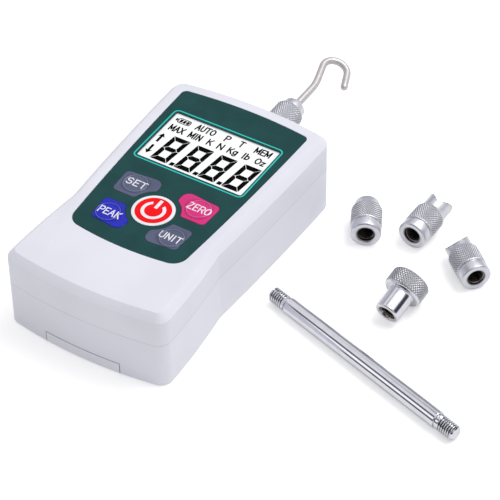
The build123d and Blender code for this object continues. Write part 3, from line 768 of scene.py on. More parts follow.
# ---------------------------------------------------------------- shared places, in millimetres
FILM_TOP = box("panel_overlay")[1].z
KEY_TOP = FILM_TOP + 0.1
KEY_THICK = 0.7
LINE_Z = sum(box("guide_bush"), Vector()).z / 2
BARREL_Y = box("hook_barrel")[0].y
COVER_TOP = box("front_cover")[1].z
SEAM_Z = box("front_cover")[0].z
DISPLAY_FACE = COVER_TOP - 0.78
THREAD_R = 2.95
BORE_R = 3.0
BORE_SHADE = 4.0
BARREL_R = 6.0
COLLAR = 4.6
HEAD_KNURL = 9.0
HOOK_KNURL = 12.6
WIRE_R = 1.48
WIRE_LEAN = math.radians(20)
POWER_AT = (0.0, -11.7)
CONE_PLACE = (58.1, 43.2, 117.5)
NOTCH_PLACE = (73.2, 51.6, 88.3)
CHISEL_PLACE = (104.9, 43.8, 139.8)
FLAT_PLACE = (84.8, 11.8, 84.5)
ROD_PLACE = (43.2, 0.8, -16.7)
NOTCH_ROLL = 103.0
CHISEL_ROLL = 66.0
EVEN = (1, 1, 1)


# ---------------------------------------------------------------- casing
def cover_weight(middle, degrees):
    """The share of the softening that a cover's edge takes, from its middle and its angle."""
    flank, end, bevel, door_top = 27.0, 54.5, 3.2, 6.0
    groove, fine = 0.42, 0.2
    outside = abs(middle.x) > flank or abs(middle.y) > end
    if outside and degrees < 60 and middle.z > COVER_TOP - bevel:
        return 1.0
    if outside and degrees < 60 and middle.z < 1.0:
        return 0.7
    if outside and abs(middle.z - SEAM_Z) < 0.1:
        return groove
    return groove if middle.y < -end and middle.z < door_top else fine


def zinc_screw(zinc):
    """A case screw, point up, with a cross slot in its rounded head."""
    head = cut_metal("screw", [
        *plain((0, 1.05), (1.2, 1.08), (2.1, 1.28), (2.65, 1.65), (2.9, 2.15), (2.9, 3.2), (1.5, 3.2)),
        *rows((1.5, 3.4), (1.5, 26.4), 140, thread=1.0),
        *plain((0.6, 28.2), (0, 28.3)),
    ], 40, zinc, {"Thread Pitch": 1.1 * MM, "Thread Depth": 0.35 * MM})
    half = 0.32
    for turned in (0, 90):
        slot = block("slot", [(-1.5, 0), (1.5, 0), (0.75, 2.5), (-0.75, 2.5)], -half, half, "Y")
        slot.transform(Matrix.Rotation(math.radians(turned), 4, "Z"))
        head = carved(head, slot)
    smooth_by_angle(head, 40)
    return head


def build_casing(casing):
    """Covers, door, casing screws, stand inserts and the shaft's bush."""
    # Painted shade along the parting seam between the two covers.
    seam_shade_line = ("Z", SEAM_Z, 0.17, 0.34)
    plastic = moulded("Satin casing plastic", casing.colour, casing.grain / MM, joints=[seam_shade_line])
    for side in ("front", "rear"):
        cover = softened(side + "_cover", casing.edge * 2, 4, 20, cover_weight)
        piece("casing_" + side, cover, "gauge", plastic, (side + "_cover",))
    low, high = box("battery_door")
    # Painted shade round the door's sides and top, standing for the shadow in the gap between door and cover.
    rims = [(axis, at, 0.26, 1.0) for axis, at in (("X", low.x), ("X", high.x), ("Z", high.z))]
    door = moulded("Battery door plastic", casing.door_colour, casing.grain / MM, joints=rims)
    refinish(door, "battery_door")

    zinc = machined("Zinc plated screw", (0.62, 0.62, 0.64), 0.32, 1.0, EVEN)
    low, high = box("case_screws")
    head_r, grip_x, display_x = 2.9, 27.75, 27.9
    near = [(side * grip_x, low.y + head_r, 0.0, 0.3 + side) for side in (-1, 1)]
    far = [(side * display_x, high.y - head_r, 0.0, 1.1 * side) for side in (-1, 1)]
    screws = copied("case_screw_set", zinc_screw(zinc), near + far, zinc)
    smooth_by_angle(screws, 40)
    piece("case_screw_set", screws, "gauge", zinc, ("case_screws",))

    brass = machined("Turned brass", (0.78, 0.57, 0.24), 0.28, 1.0, (1, 1, 6))
    insert = cut_metal("insert", [
        *plain((2.0, 6.9), (2.15, 7.0), (3.0, 7.0), (3.0, 6.4), (4.2, 6.4), (4.2, 5.2)),
        *plain((3.0, 5.2), (3.0, 0.35), (2.85, 0.2), (2.15, 0.2)),
        *rows((2.0, 0.45), (2.0, 6.8), 76, thread=1.0),
    ], 48, brass, {"Thread Pitch": 0.7 * MM, "Thread Depth": 0.32 * MM})
    low, high = box("stand_inserts")
    flange_r = 4.2
    ends = (low.y + flange_r, high.y - flange_r)
    places = [(side * (high.x - flange_r), y, 0.0, side * y * 0.04) for side in (-1, 1) for y in ends]
    inserts = copied("stand_insert_set", insert, places, brass)
    smooth_by_angle(inserts, 38)
    piece("stand_insert_set", inserts, "gauge", brass, ("stand_inserts",))
    piece("shaft_bush", softened("guide_bush", 0.12 * MM), "gauge", brass, ("guide_bush",))


# ---------------------------------------------------------------- panel and keys
DOME_R, CREST_R, FOOT_R = 4.0, 4.5, 5.05
DOME_RISE, DOME_FLOOR, CREST_RISE = 0.08, 0.05, 0.3


def eased(part):
    """A cosine ease from 0 to 1."""
    return (1 - math.cos(math.pi * part)) / 2


def key_height(x, y, centre):
    """Height of a key's embossed dome and the ring round it above its cap."""
    far = math.hypot(x - centre[0], y - centre[1])
    if far <= DOME_R:
        return DOME_FLOOR + DOME_RISE * (1 - (far / DOME_R) ** 2)
    if far <= CREST_R:
        return DOME_FLOOR + (CREST_RISE - DOME_FLOOR) * eased((far - DOME_R) / (CREST_R - DOME_R))
    if far <= FOOT_R:
        return CREST_RISE * (1 - eased((far - CREST_R) / (FOOT_R - CREST_R)))
    return 0.0


def key_outline(node, centre, count):
    """Distances from a key's centre to its edge in evenly spaced directions, from the CAD cap."""
    middle = Vector(centre)
    rim = {}
    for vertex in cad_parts[node].data.vertices:
        spot = vertex.co / MM
        away = spot.xy - middle
        if abs(spot.z - KEY_TOP + KEY_THICK) < 0.01 and away.length > 2.6:
            rim[round(math.atan2(away.y, away.x), 5)] = away
    loop = [rim[angle] for angle in sorted(rim)]
    radii = []
    for turn in turns(count):
        x, y = math.cos(turn), math.sin(turn)
        best = 0.0
        for a, b in zip(loop, loop[1:] + loop[:1]):
            side = b - a
            cross = x * side.y - y * side.x
            if abs(cross) > 1e-9 and -1e-6 <= (a.x * y - a.y * x) / cross <= 1 + 1e-6:
                best = max(best, (a.x * side.y - a.y * side.x) / cross)
        radii.append(best)
    return radii


def key_mesh(node, centre, domed, count=240):
    """A key cap as one closed skin: dome, rolled edge, underside and post."""

    def dome(x, y):
        return key_height(x, y, centre) if domed else 0.0

    inset, post_r = 0.04, 2.2
    edge = [radius - inset for radius in key_outline(node, centre, count)]
    low = box(node)[0].z
    inner = [0.8, 1.6, 2.4, 3.2, 3.7, *spread(DOME_R, FOOT_R, 11)] if domed else [2.0, 4.0, 6.0]
    shares = [min(1.0, (r - 0.3) / inner[-1]) for r in edge]
    skins = [([radius * share for share in shares], None) for radius in inner]
    last = skins[-1][0]
    skins += [([a + (r - 0.14 - a) * part for r, a in zip(edge, last)], 0.0) for part in (0.4, 0.75)]
    rolled = ((0.14, 0.0), (0.07, 0.012), (0.025, 0.05), (0.0, 0.13))
    skins += [([r - back for r in edge], -drop) for back, drop in rolled]
    post = [post_r] * count
    skins += [(edge, -KEY_THICK), (post, -KEY_THICK), (post, low - KEY_TOP)]
    cx, cy = centre
    rings = [[(cx, cy, KEY_TOP + dome(cx, cy))]]
    for radii, height in skins:
        places = [(cx + r * math.cos(turn), cy + r * math.sin(turn)) for r, turn in zip(radii, turns(count))]
        rings.append([(x, y, KEY_TOP + (dome(x, y) if height is None else height)) for x, y in places])
    mesh = shell(node, [*rings, [(cx, cy, low)]])
    smooth_by_angle(mesh, 35)
    middle = Vector(centre)
    # The crest attribute: above 0 on the ring for a painted highlight, below 0 round the foot for painted
    # shade.
    reach = [(vertex.co.xy / MM - middle).length for vertex in mesh.vertices]
    pale = [max(0.0, 0.9 - abs(far - CREST_R) / 0.3) for far in reach]
    dark = [max(0.0, 0.8 - abs(far - 5.0) / 0.3) for far in reach]
    store(mesh, "crest", [(light - shadow) * domed for light, shadow in zip(pale, dark)])
    return mesh


def build_panel(panel):
    """The film and the line round the display."""
    refinish(film("Panel film", panel.film), "panel_overlay")
    outer = rounded_box(-24.2, 24.1, 10.1, 41.1, 2.2)
    inner = rounded_box(-23.65, 23.55, 10.65, 40.55, 1.65)
    line = shell("display_outline", sections(outer, inner, FILM_TOP, FILM_TOP + 0.015), looped=True)
    piece("display_outline", line, "gauge", ink("Outline ink", panel.outline))


def build_keys(panel):
    """Four petal keys with embossed domes and labels, and the power key."""
    white = ink("White lettering ink", panel.white, 0.32)
    keys = (
        ("key_set", (-13.85, -2.7), "SET", (-17.5, -9.4, -4.0, -0.9), panel.slate, "Slate key film"),
        ("key_zero", (13.85, -2.7), "ZERO", (9.3, 18.7, -4.1, -0.9), panel.pink, "Pink key film"),
        ("key_peak", (-13.85, -20.7), "PEAK", (-17.6, -8.6, -22.2, -19.0), panel.blue, "Blue key film"),
        ("key_unit", (13.85, -20.7), "UNIT", (8.9, 17.8, -22.2, -19.1), panel.slate, "Slate key film"),
    )
    for node, centre, text, edges, colour, name in keys:
        # The last True turns on the painted highlight and painted shade of each key's dome.
        skin = film(name, shade(colour, 0.96), 0.16, 0.002, 0.24, True)
        piece(node + "_cap", key_mesh(node, centre, True), node, skin, (node,))

        def raised(x, y, centre=centre):
            return key_height(x, y, centre)

        letters = shell(text, *word(text, edges, 0.46, KEY_TOP - 0.02, KEY_TOP + 0.03, raised), capped=True)
        piece(node + "_label", letters, node, white)
    cap = key_mesh("key_power", POWER_AT, False)
    pale = film("White key film", panel.white, 0.26, 0.002)
    piece("key_power_cap", cap, "key_power", pale, ("key_power",))
    disc = block("power_disc", arc(POWER_AT, 6.9, 0, 360, 97)[:-1], KEY_TOP, KEY_TOP + 0.012)
    piece("key_power_disc", disc, "key_power", film("Red key film", panel.red, 0.24, 0.002))
    low, high = KEY_TOP + 0.01, KEY_TOP + 0.024
    outer = arc(POWER_AT, 4.7, 90 + 32, 450 - 32, 64)
    inner = arc(POWER_AT, 3.4, 90 + 36, 450 - 36, 64)
    bar = rounded_box(POWER_AT[0] - 0.68, POWER_AT[0] + 0.68, -10.4, -5.7, 0.1, 3)
    symbol = shell("power_symbol", sections(outer, inner, low, high), *slab([bar], low, high), capped=True)
    piece("key_power_symbol", symbol, "key_power", white)


# ---------------------------------------------------------------- lettering
LETTER_GAP = 0.34
LETTER_WIDTHS = {"M": 1.2, "I": 0.35, "l": 0.3, "g": 0.8, "b": 0.8, "z": 0.75, "E": 0.85, "O": 1.1}


def bend(cx, cy, rx, ry, start, end):
    """A letter's round stroke: part of an ellipse, angles in degrees."""
    return [(cx + rx * x, cy + ry * y) for x, y in arc((0, 0), 1.0, start, end, 13)]


STEM = [(0.5, 1), (0.5, 0)]
BOWL = [(0.08, 0), (0.08, 1), *bend(0.6, 0.73, 0.4, 0.27, 90, -90), (0.08, 0.46)]
GLYPHS = {
    "A": [[(0, 0), (0.5, 1)], [(0.5, 1), (1, 0)], [(0.19, 0.36), (0.81, 0.36)]],
    "b": [[(0.06, 1), (0.06, 0)], bend(0.5, 0.33, 0.46, 0.33, 0, 360)],
    "E": [[(1, 1), (0.08, 1), (0.08, 0), (1, 0)], [(0.08, 0.52), (0.88, 0.52)]],
    "g": [bend(0.46, 0.66, 0.46, 0.32, 0, 360), [(0.94, 0.98), *bend(0.5, 0.24, 0.44, 0.24, 0, -160)]],
    "I": [STEM],
    "K": [[(0.08, 1), (0.08, 0)], [(0.95, 1), (0.08, 0.4)], [(0.38, 0.6), (1, 0)]],
    "l": [STEM],
    "M": [[(0.04, 0), (0.04, 1)], [(0.04, 1), (0.5, 0.2)], [(0.5, 0.2), (0.96, 1)], [(0.96, 1), (0.96, 0)]],
    "N": [[(0.06, 0), (0.06, 1)], [(0.06, 1), (0.94, 0)], [(0.94, 0), (0.94, 1)]],
    "O": [bend(0.5, 0.5, 0.5, 0.5, 90, 450)],
    "P": [BOWL],
    "R": [BOWL, [(0.6, 0.46), (1, 0)]],
    "S": [[*bend(0.5, 0.74, 0.43, 0.26, 20, 250), *bend(0.5, 0.26, 0.46, 0.26, 70, -160)]],
    "T": [[(0.5, 0), (0.5, 1)], [(0, 1), (1, 1)]],
    "U": [[(0.04, 1), *bend(0.5, 0.36, 0.46, 0.36, 180, 360), (0.96, 1)]],
    "X": [[(0, 0), (1, 1)], [(0, 1), (1, 0)]],
    "Z": [[(0.03, 1), (0.97, 1)], [(0.97, 1), (0.03, 0)], [(0.03, 0), (0.97, 0)]],
    "z": [[(0.05, 0.62), (0.95, 0.62)], [(0.95, 0.62), (0.05, 0)], [(0.05, 0), (0.95, 0)]],
}


def ribbon(points, wide):
    """The two sides of a stroke of a given width along a line, with mitred corners."""
    left, right = [], []
    for i, point in enumerate(points):
        before = (point - points[i - 1]).normalized() if i else (points[1] - point).normalized()
        after = (points[i + 1] - point).normalized() if i + 1 < len(points) else before
        mean = (before + after).normalized()
        side = Vector((-mean.y, mean.x)) * (wide / 2 / max(mean.dot(before), 0.45))
        end = mean * (wide / 2 if i in (0, len(points) - 1) else 0.0) * (-1 if i == 0 else 1)
        left.append(point + side + end)
        right.append(point - side + end)
    return left, right


def divided(side, line):
    """A side of a stroke with points added in the same places along each part of its line."""
    points = [side[0]]
    for (a, b), (p, q) in zip(zip(side, side[1:]), zip(line, line[1:])):
        parts = max(1, round((q - p).length / 0.22))
        points += [a.lerp(b, part / parts) for part in range(1, parts + 1)]
    return points


def word(text, edges, wide, low, high, follow=None):
    """Parts of a shell: a word in even strokes, its letters spread over a box (x0, x1, y0, y1) and laid
    over a surface if one is given."""
    x0, x1, y0, y1 = edges
    spaces = [LETTER_WIDTHS.get(letter, 1.0) for letter in text]
    unit = (x1 - x0) / (sum(spaces) + LETTER_GAP * (len(text) - 1))
    parts = []
    for letter, space in zip(text, spaces):
        drop, tall = (0.22, 0.95) if letter == "g" else (0.0, 1.0)
        for stroke in GLYPHS[letter]:
            line = [Vector((x0 + x * space * unit, y0 + (y * tall - drop) * (y1 - y0))) for x, y in stroke]
            left, right = ribbon(line, wide)
            if follow:
                left, right = divided(left, line), divided(right, line)
                middle = [(a + b) / 2 for a, b in zip(left, right)]
                parts += [sections(a, b, low, high, follow) for a, b in ((left, middle), (middle, right))]
            else:
                parts.append(sections(left, right, low, high))
        x0 += (space + LETTER_GAP) * unit
    return parts


# ---------------------------------------------------------------- display
def digit_loops(x, y, wide, tall, stroke, gap):
    """The seven segments of an upright digit, as outlines."""

    def flip(loop):
        return [(wide - a, b) for a, b in loop]

    def drop(loop):
        return [(a, tall - b) for a, b in loop]

    mid, thin, half = tall / 2, stroke * 0.84, stroke / 2
    near, far = thin + gap * 0.8, tall - stroke
    top = [(gap, tall), (near, far), (wide - near, far), (wide - gap, tall)]
    left = [
        (0, tall - gap), (0, mid + gap * 0.9), (thin * 0.45, mid + gap * 0.7),
        (thin, mid + half + gap * 0.9), (thin, far - gap * 0.8),
    ]
    tip, shoulder = thin * 0.5 + gap, thin + gap
    centre = [
        (tip, mid), (shoulder, mid - half), (wide - shoulder, mid - half),
        (wide - tip, mid), (wide - shoulder, mid + half), (shoulder, mid + half),
    ]
    loops = [top, drop(top), left, drop(left), flip(left), drop(flip(left)), centre]
    return [[(x + a, y + b) for a, b in loop] for loop in loops]


def arrow(x, foot, tip):
    """A bar and a head that point from a foot to a tip."""
    way = 1 if tip > foot else -1
    bar, head, neck = 0.52, 1.45, tip - 1.7 * way
    return [
        [(x - bar, foot), (x + bar, foot), (x + bar, neck), (x - bar, neck)],
        [(x - head, tip - 2.2 * way), (x, tip - 1.75 * way), (x + head, tip - 2.2 * way), (x, tip)],
    ]


def build_display(display):
    """The lit background, its segments and small words, and the clear lens."""
    low, high = box("display_glass")
    ground = block("ground", rounded_box(low.x, high.x, low.y, high.y, 1.5), low.z, DISPLAY_FACE)
    face = lit("Display background", display.face, 0.16)
    piece("display_ground", ground, "gauge", face, ("display_glass",))
    base, top = DISPLAY_FACE, DISPLAY_FACE + 0.02
    foot, wide, tall, gap, point = 13.1, 7.3, 14.9, 0.13, 1.8
    loops = []
    for x in (-18.1, -7.65, 2.8, 13.25):
        loops += digit_loops(x, foot, wide, tall, display.stroke / MM, gap)
    for x in (-9.75, 0.68, 11.1):
        loops.append([(x, foot), (x + point, foot), (x + point, foot + point), (x, foot + point)])
    loops = [[(a + (b - foot) * display.slant, b) for a, b in loop] for loop in loops]
    loops.append([(-21.5, 36.0), (-20.7, 36.0), (-20.7, 37.4), (-21.5, 37.4)])
    for x in (-19.8, -18.35, -16.9):
        loops.append([(x, 35.85), (x + 1.15, 35.85), (x + 1.35, 37.55), (x + 0.2, 37.55)])
    loops += arrow(-20.75, 21.9, 27.3) + arrow(-20.75, 19.9, 14.5)
    words = (
        ("AUTO", (-12.2, -4.2, 35.4, 38.4)),
        ("P", (0.6, 2.4, 35.3, 38.3)),
        ("T", (6.9, 8.7, 35.3, 38.3)),
        ("MEM", (13.9, 20.4, 35.3, 38.3)),
        ("MAX", (-21.0, -14.9, 30.2, 33.3)),
        ("MIN", (-12.3, -7.1, 30.2, 33.3)),
        ("K", (-4.1, -2.2, 30.2, 33.2)),
        ("N", (0.5, 2.7, 30.2, 33.2)),
        ("Kg", (5.0, 8.9, 30.2, 33.2)),
        ("lb", (11.5, 14.2, 30.2, 33.3)),
        ("Oz", (17.1, 21.0, 30.2, 33.2)),
    )
    parts = slab(loops, base, top)
    for text, edges in words:
        parts += word(text, edges, 0.6, base, top)
    outer = rounded_box(-20.6, -15.0, 35.2, 38.2, 1.0)
    inner = rounded_box(-20.2, -15.4, 35.6, 37.8, 0.7)
    black = ink("Display segment", display.ink, 0.5, 0.0)
    cell_mark = shell("cell_mark", sections(outer, inner, base, top), looped=True)
    segments = joined("segments", [shell("signs", *parts, capped=True), cell_mark])
    piece("display_segments", segments, "gauge", black)
    refinish(clear("Clear lens", (0.06, 0.065, 0.07), 0.02), "display_window")


# ---------------------------------------------------------------- turned heads
def bore_rows(mouth, thread):
    """Rows from the bottom of an M6 bore out to near its mouth."""
    bottom = [(0, 10.0, 0, 0), (2.3, 10.0, 0, 0), (BORE_R, 9.6, 0, 0)]
    return bottom + rows((BORE_R, 9.3), (BORE_R, mouth), 80, thread=thread)


def barrel(knurl, nose, thread=1.0):
    """A head's rows from the bottom of its bore, out of the mouth, over its collar and knurl, and its nose."""
    end = COLLAR + knurl
    return [
        *bore_rows(1.25, thread),
        *rows((BORE_R, 1.1), (3.75, 0.3), 8, thread=thread * 0.8),
        *plain((3.9, 0.12), (4.1, 0.02), (4.3, 0), (4.85, 0), (5.2, 0.05), (5.52, 0.2), (5.74, 0.42)),
        *plain((5.8, 0.75), (5.8, 3.6), (5.78, 3.9), (5.68, 4.0), (5.3, 4.06), (5.25, 4.15), (5.25, 4.45)),
        *plain((5.3, 4.56), (5.62, COLLAR)),
        *rows((5.86, 4.72), (BARREL_R, 5.1), 2, knurl=0.5),
        *rows((BARREL_R, 5.2), (BARREL_R, end - 0.6), round(knurl / 1.15 * 8), knurl=1.0),
        *rows((BARREL_R, end - 0.5), (5.86, end - 0.12), 2, knurl=0.5),
        *lifted(nose, end),
    ]


CONE_NOSE = [
    *plain((5.62, 0), (5.5, 0.08), (5.3, 0.4), (4.95, 2.4), (4.8, 3.25), (4.7, 3.45)),
    *rows((4.55, 3.6), (0.55, 7.65), 10),
    *plain((0.3, 7.85), (0, 8.0)),
]
NOTCH_NOSE = [
    *plain((5.62, 0), (5.5, 0.08), (5.12, 0.4), (5.0, 0.9)),
    *rows((5.0, 1.4), (5.0, 8.25), 6),
    *plain((4.93, 8.36), (4.8, 8.4), (0, 8.4)),
]
CHISEL_NOSE = [
    *plain((5.62, 0), (5.5, 0.08), (5.08, 0.4), (4.95, 0.9)),
    *rows((4.95, 1.4), (4.95, 6.4), 4),
    *plain((4.8, 6.6), (0, 6.6)),
]
HOOK_NOSE = [
    *plain((5.62, 0), (5.4, 0.1), (4.75, 0.45), (4.6, 0.62), (4.6, 3.4), (4.52, 3.62)),
    *rows((4.4, 3.75), (2.3, 5.95), 6),
    *plain((2.05, 6.1), (1.7, 6.2), (0, 6.2)),
]


def knurled_metal(metal):
    """The satin plating of the knurled barrels."""
    return plated("Satin plated knurl", metal.satin, 0.33, 0.0012, 0.85, 0.42)


def build_heads(metal):
    """Cone, notch, chisel and flat heads."""
    satin = knurled_metal(metal)
    end, reach, half_edge = COLLAR + HEAD_KNURL, 7.0, 0.4
    tip = end + 6.6
    vee = ("X", [(0, end + 3.6), (5.8, end + 9.4), (-5.8, end + 9.4)])
    slope = [(reach, end + 0.6), (reach, tip + 1), (half_edge, tip + 1), (half_edge, tip)]
    slopes = [("Y", [(side * a, b) for a, b in slope]) for side in (-1, 1)]
    heads = (
        ("cone_head", CONE_NOSE, CONE_PLACE, 0.0, []),
        ("notch_head", NOTCH_NOSE, NOTCH_PLACE, NOTCH_ROLL, [vee]),
        ("chisel_head", CHISEL_NOSE, CHISEL_PLACE, CHISEL_ROLL, slopes),
    )
    for node, nose, place, roll, cuts in heads:
        head = cut_metal(node, barrel(HEAD_KNURL, nose), metal.teeth * 8, satin)
        for axis, loop in cuts:
            head = carved(head, block("cut", loop, -reach, reach, axis))
        smooth_by_angle(head, 38)
        piece(node + "_turned", laid(head, place, BARREL_R, roll), node, satin, (node,))
    build_flat_head(metal)


def build_flat_head(metal):
    """The knurled disc on a stem, leaning on its two rims."""
    # The last share gives painted shade in the knurl's valleys, the thread's roots and the bore.
    bright = plated("Bright plated knurl", metal.plate, 0.15, 0.0008, valley_shade=0.34)
    stem, disc, wide, teeth = 9.7, 7.7, 4.9, 42
    profile = [
        *bore_rows(1.2, 1.0),
        *plain((3.1, 0.8), (3.35, 0.3), (3.5, 0.05), (3.6, 0), (4.15, 0), (4.5, 0.07), (4.78, 0.26)),
        *plain((4.88, 0.5), (wide, 0.75)),
        *rows((wide, 1.2), (wide, 8.9), 4),
        *plain((4.95, 9.35), (5.1, 9.62)),
    ]
    profile += lifted([
        *plain((5.35, 0), (6.2, 0), (6.25, 0.05), (6.35, 0.05), (6.4, 0), (6.7, 0), (6.9, 0.05), (7.35, 0.5)),
        *rows((7.45, 0.6), (7.64, 0.82), 3, knurl=0.6),
        *rows((disc, 0.95), (disc, 6.5), 44, knurl=1.0),
        *rows((7.62, 6.62), (7.4, 6.9), 2, knurl=0.4),
        *plain((7.25, 7.05), (7.1, 7.1), (0, 7.1)),
    ], stem)
    coarse = {"Teeth": teeth, "Knurl Lead": 1.2 * MM, "Knurl Depth": metal.knurl_depth * 1.2}
    head = cut_metal("flat_head", profile, teeth * 8, bright, coarse)
    mouth_rim, disc_rim = 0.5, 0.8
    tilt = math.atan2(disc - wide, stem + disc_rim - mouth_rim)
    rise = wide * math.cos(tilt) - mouth_rim * math.sin(tilt)
    head = laid(head, FLAT_PLACE, rise, 0, math.degrees(tilt))
    piece("flat_head_turned", head, "flat_head", bright, ("flat_head",))


def build_rod(metal):
    """The extension rod with a thread at each end."""
    # The last share gives painted shade in the threads' roots.
    bright = plated("Bright plated bar", metal.plate, 0.11, 0.0008, valley_shade=0.08)
    long, radius = 94.8, 3.3
    half = [
        *plain((0, 0), (2.2, 0.0), (2.55, 0.3)),
        *rows((THREAD_R, 0.6), (THREAD_R, 6.9), 62, thread=1.0),
        *plain((THREAD_R, 7.05), (THREAD_R, 8.2), (2.62, 8.25), (2.6, 8.6), (3.0, 8.62), (3.2, 8.75)),
        *plain((radius, 8.95), (radius, 9.05), (radius, 9.3)),
    ]
    back = [(r, long - along, knurl, thread) for r, along, knurl, thread in reversed(half)]
    middle = rows((radius, 12.0), (radius, long - 12.0), 8)
    bar = laid(cut_metal("rod", half + middle + back, 72, bright), ROD_PLACE, radius)
    piece("extension_rod_turned", bar, "extension_rod", bright, ("extension_rod",))


# ---------------------------------------------------------------- hook and load line
def hook_path():
    """The hook wire's centre line in its own plane, (across, along), and the way that its tip points."""
    offset, shank, rise, bend_r = 1.9, 14.1, 12.15, 5.2
    shank_bend, flare, tip_length = 26.0, math.radians(21.8), 6.7
    nose = COLLAR + HOOK_KNURL + 3.7 + 2.5
    corner = Vector((0, nose + shank))
    centre = corner + Vector((offset, rise))
    reach = math.hypot(offset, rise)
    lean = math.asin(bend_r / reach) - math.atan2(offset, rise)
    along = Vector((-math.sin(lean), math.cos(lean)))
    touch = corner + along * math.sqrt(reach**2 - bend_r**2)
    trim = shank_bend * math.tan(lean / 2)
    foot = nose - 3.5
    points = [Vector((0, foot + step)) for step in range(0, int(corner.y - trim - foot), 2)]
    pivot = Vector((-shank_bend, corner.y - trim))
    points += [pivot + Vector((math.cos(a), math.sin(a))) * shank_bend for a in spread(0, lean, 9)]
    points += [(corner + along * trim).lerp(touch, part) for part in spread(0.15, 0.85, 5)]
    first = math.atan2((touch - centre).y, (touch - centre).x) % math.tau
    points += [centre + Vector((math.cos(a), math.sin(a))) * bend_r for a in spread(first, flare, 41)]
    way = Vector((math.sin(flare), -math.cos(flare)))
    leave = points[-1]
    points += [leave + way * tip_length * part for part in spread(0.15, 1.0, 6)]
    return points, way


def build_hook(metal):
    """The wire hook and its knurled barrel, and the shaft it screws on."""
    satin = knurled_metal(metal)
    head = cut_metal("hook_barrel", barrel(HOOK_KNURL, HOOK_NOSE, 0.0), metal.teeth * 6, satin)
    head = along_y(head, (0, BARREL_Y, LINE_Z))
    piece("hook_barrel_turned", head, "hook", satin, ("hook_barrel",))

    flat_points, way = hook_path()
    tip = flat_points[-1]
    rounding = [step * math.pi / 2 for step in spread(0.25, 1.0, 7)]
    radii = [0.0, *[WIRE_R] * len(flat_points), *[WIRE_R * math.cos(angle) for angle in rounding[:-1]], 0.0]
    flat_points += [tip + way * WIRE_R * math.sin(angle) for angle in rounding]
    across = Vector((math.cos(WIRE_LEAN), 0, -math.sin(WIRE_LEAN)))
    points = [Vector((0, BARREL_Y + point.y, LINE_Z)) + across * point.x for point in flat_points]
    points.insert(0, points[0] - Vector((0, 0.01, 0)))
    hook = tube("hook_wire", points, radii, 32, Vector((math.sin(WIRE_LEAN), 0, math.cos(WIRE_LEAN))))
    smooth_by_angle(hook, 50)
    wire_metal = plated("Satin plated wire", metal.wire, 0.42, 0.002, 0.6)
    piece("hook_wire", hook, "hook", wire_metal, ("hook",))

    ground = machined("Ground plated shaft", shade(metal.plate, 0.95), 0.16, 1.0, (8, 1, 8))
    shaft = softened("load_shaft", 0.12 * MM)
    piece("load_shaft_ground", shaft, "load_shaft", ground, ("load_shaft",))


# ---------------------------------------------------------------- inside the casing
def build_batteries():
    """Two cells with a plain two-tone sleeve, their springs and contact plates."""
    sleeve = moulded("Cell sleeve", (0.035, 0.038, 0.045), 0.003, 0.3)
    copper = machined("Copper cell band", (0.72, 0.36, 0.16), 0.3, 0.9, EVEN)
    nickel = machined("Nickel contact", (0.70, 0.69, 0.66), 0.25, 1.0, EVEN)
    can = [(0, 0), (6.3, 0), (6.75, 0.12), (7.0, 0.45), (7.0, 48.9), (6.8, 49.25), (6.1, 49.3)]
    cap = [(2.6, 49.3), (2.55, 50.2), (2.3, 50.45), (0, 50.5)]
    skins = (
        ("_can", nickel, can + cap),
        ("_sleeve", sleeve, [(7.02, 0.5), (7.2, 0.42), (7.25, 0.6), (7.25, 34.0), (7.02, 34.0)]),
        ("_band", copper, [(7.02, 34.0), (7.25, 34.0), (7.25, 48.7), (7.18, 48.9), (7.02, 48.8)]),
    )
    for node, way in (("battery_left", -1), ("battery_right", 1)):
        low, high = box(node)
        middle = (low + high) / 2
        foot = (middle.x, low.y if way > 0 else high.y, middle.z)
        for label, material, profile in skins:
            mesh = along_y(lathe(node + label, plain(*profile), 64), foot, way)
            smooth_by_angle(mesh, 35)
            piece(node + label, mesh, "gauge", material, (node,) if label == "_can" else ())
    refinish(nickel, "contact_plates", "contact_springs")


def build_inside():
    """Finishes for the solids inside the casing, which keep their shapes."""
    refinish(circuit("Solder mask", (0.02, 0.17, 0.07)), "main_board")
    refinish(moulded("Black switch plastic", (0.02, 0.02, 0.02), 0.004), "key_switches")
    refinish(moulded("Milky light guide", (0.82, 0.83, 0.82), 0.004, 0.3), "backlight")
    refinish(machined("Zinc plated screw", (0.62, 0.62, 0.64), 0.32, 1.0, EVEN), "board_screws")
    refinish(machined("Milled aluminium", (0.77, 0.78, 0.79), 0.35), "load_cell")
    refinish(machined("Ground steel plate", (0.50, 0.50, 0.52), 0.32), "load_bracket")
    refinish(machined("Black oxide screw", (0.03, 0.03, 0.035), 0.35, 0.8, EVEN), "anchor_screw")


# ---------------------------------------------------------------- stage
LOOK_AT = Vector((21.67, 19.26, 0)) * MM


def build_camera(stage):
    """The camera, aimed at the middle of the set."""
    azimuth, elevation, roll = (math.radians(angle) for angle in (stage.azimuth, stage.elevation, stage.roll))
    flat = Vector((math.sin(azimuth), -math.cos(azimuth), 0))
    back = flat * math.cos(elevation) + Vector((0, 0, math.sin(elevation)))
    level_right = Vector((math.cos(azimuth), math.sin(azimuth), 0))
    right = level_right * math.cos(roll) + back.cross(level_right) * math.sin(roll)
    turn = Matrix((right, back.cross(right), back)).transposed().to_4x4()
    lens = bpy.data.cameras.new("Camera")
    lens.lens = stage.lens
    lens.sensor_width = 36
    lens.clip_start = 0.01
    camera = linked("Camera", lens)
    camera.matrix_world = Matrix.Translation(LOOK_AT + back * stage.distance) @ turn
    bpy.context.scene.camera = camera


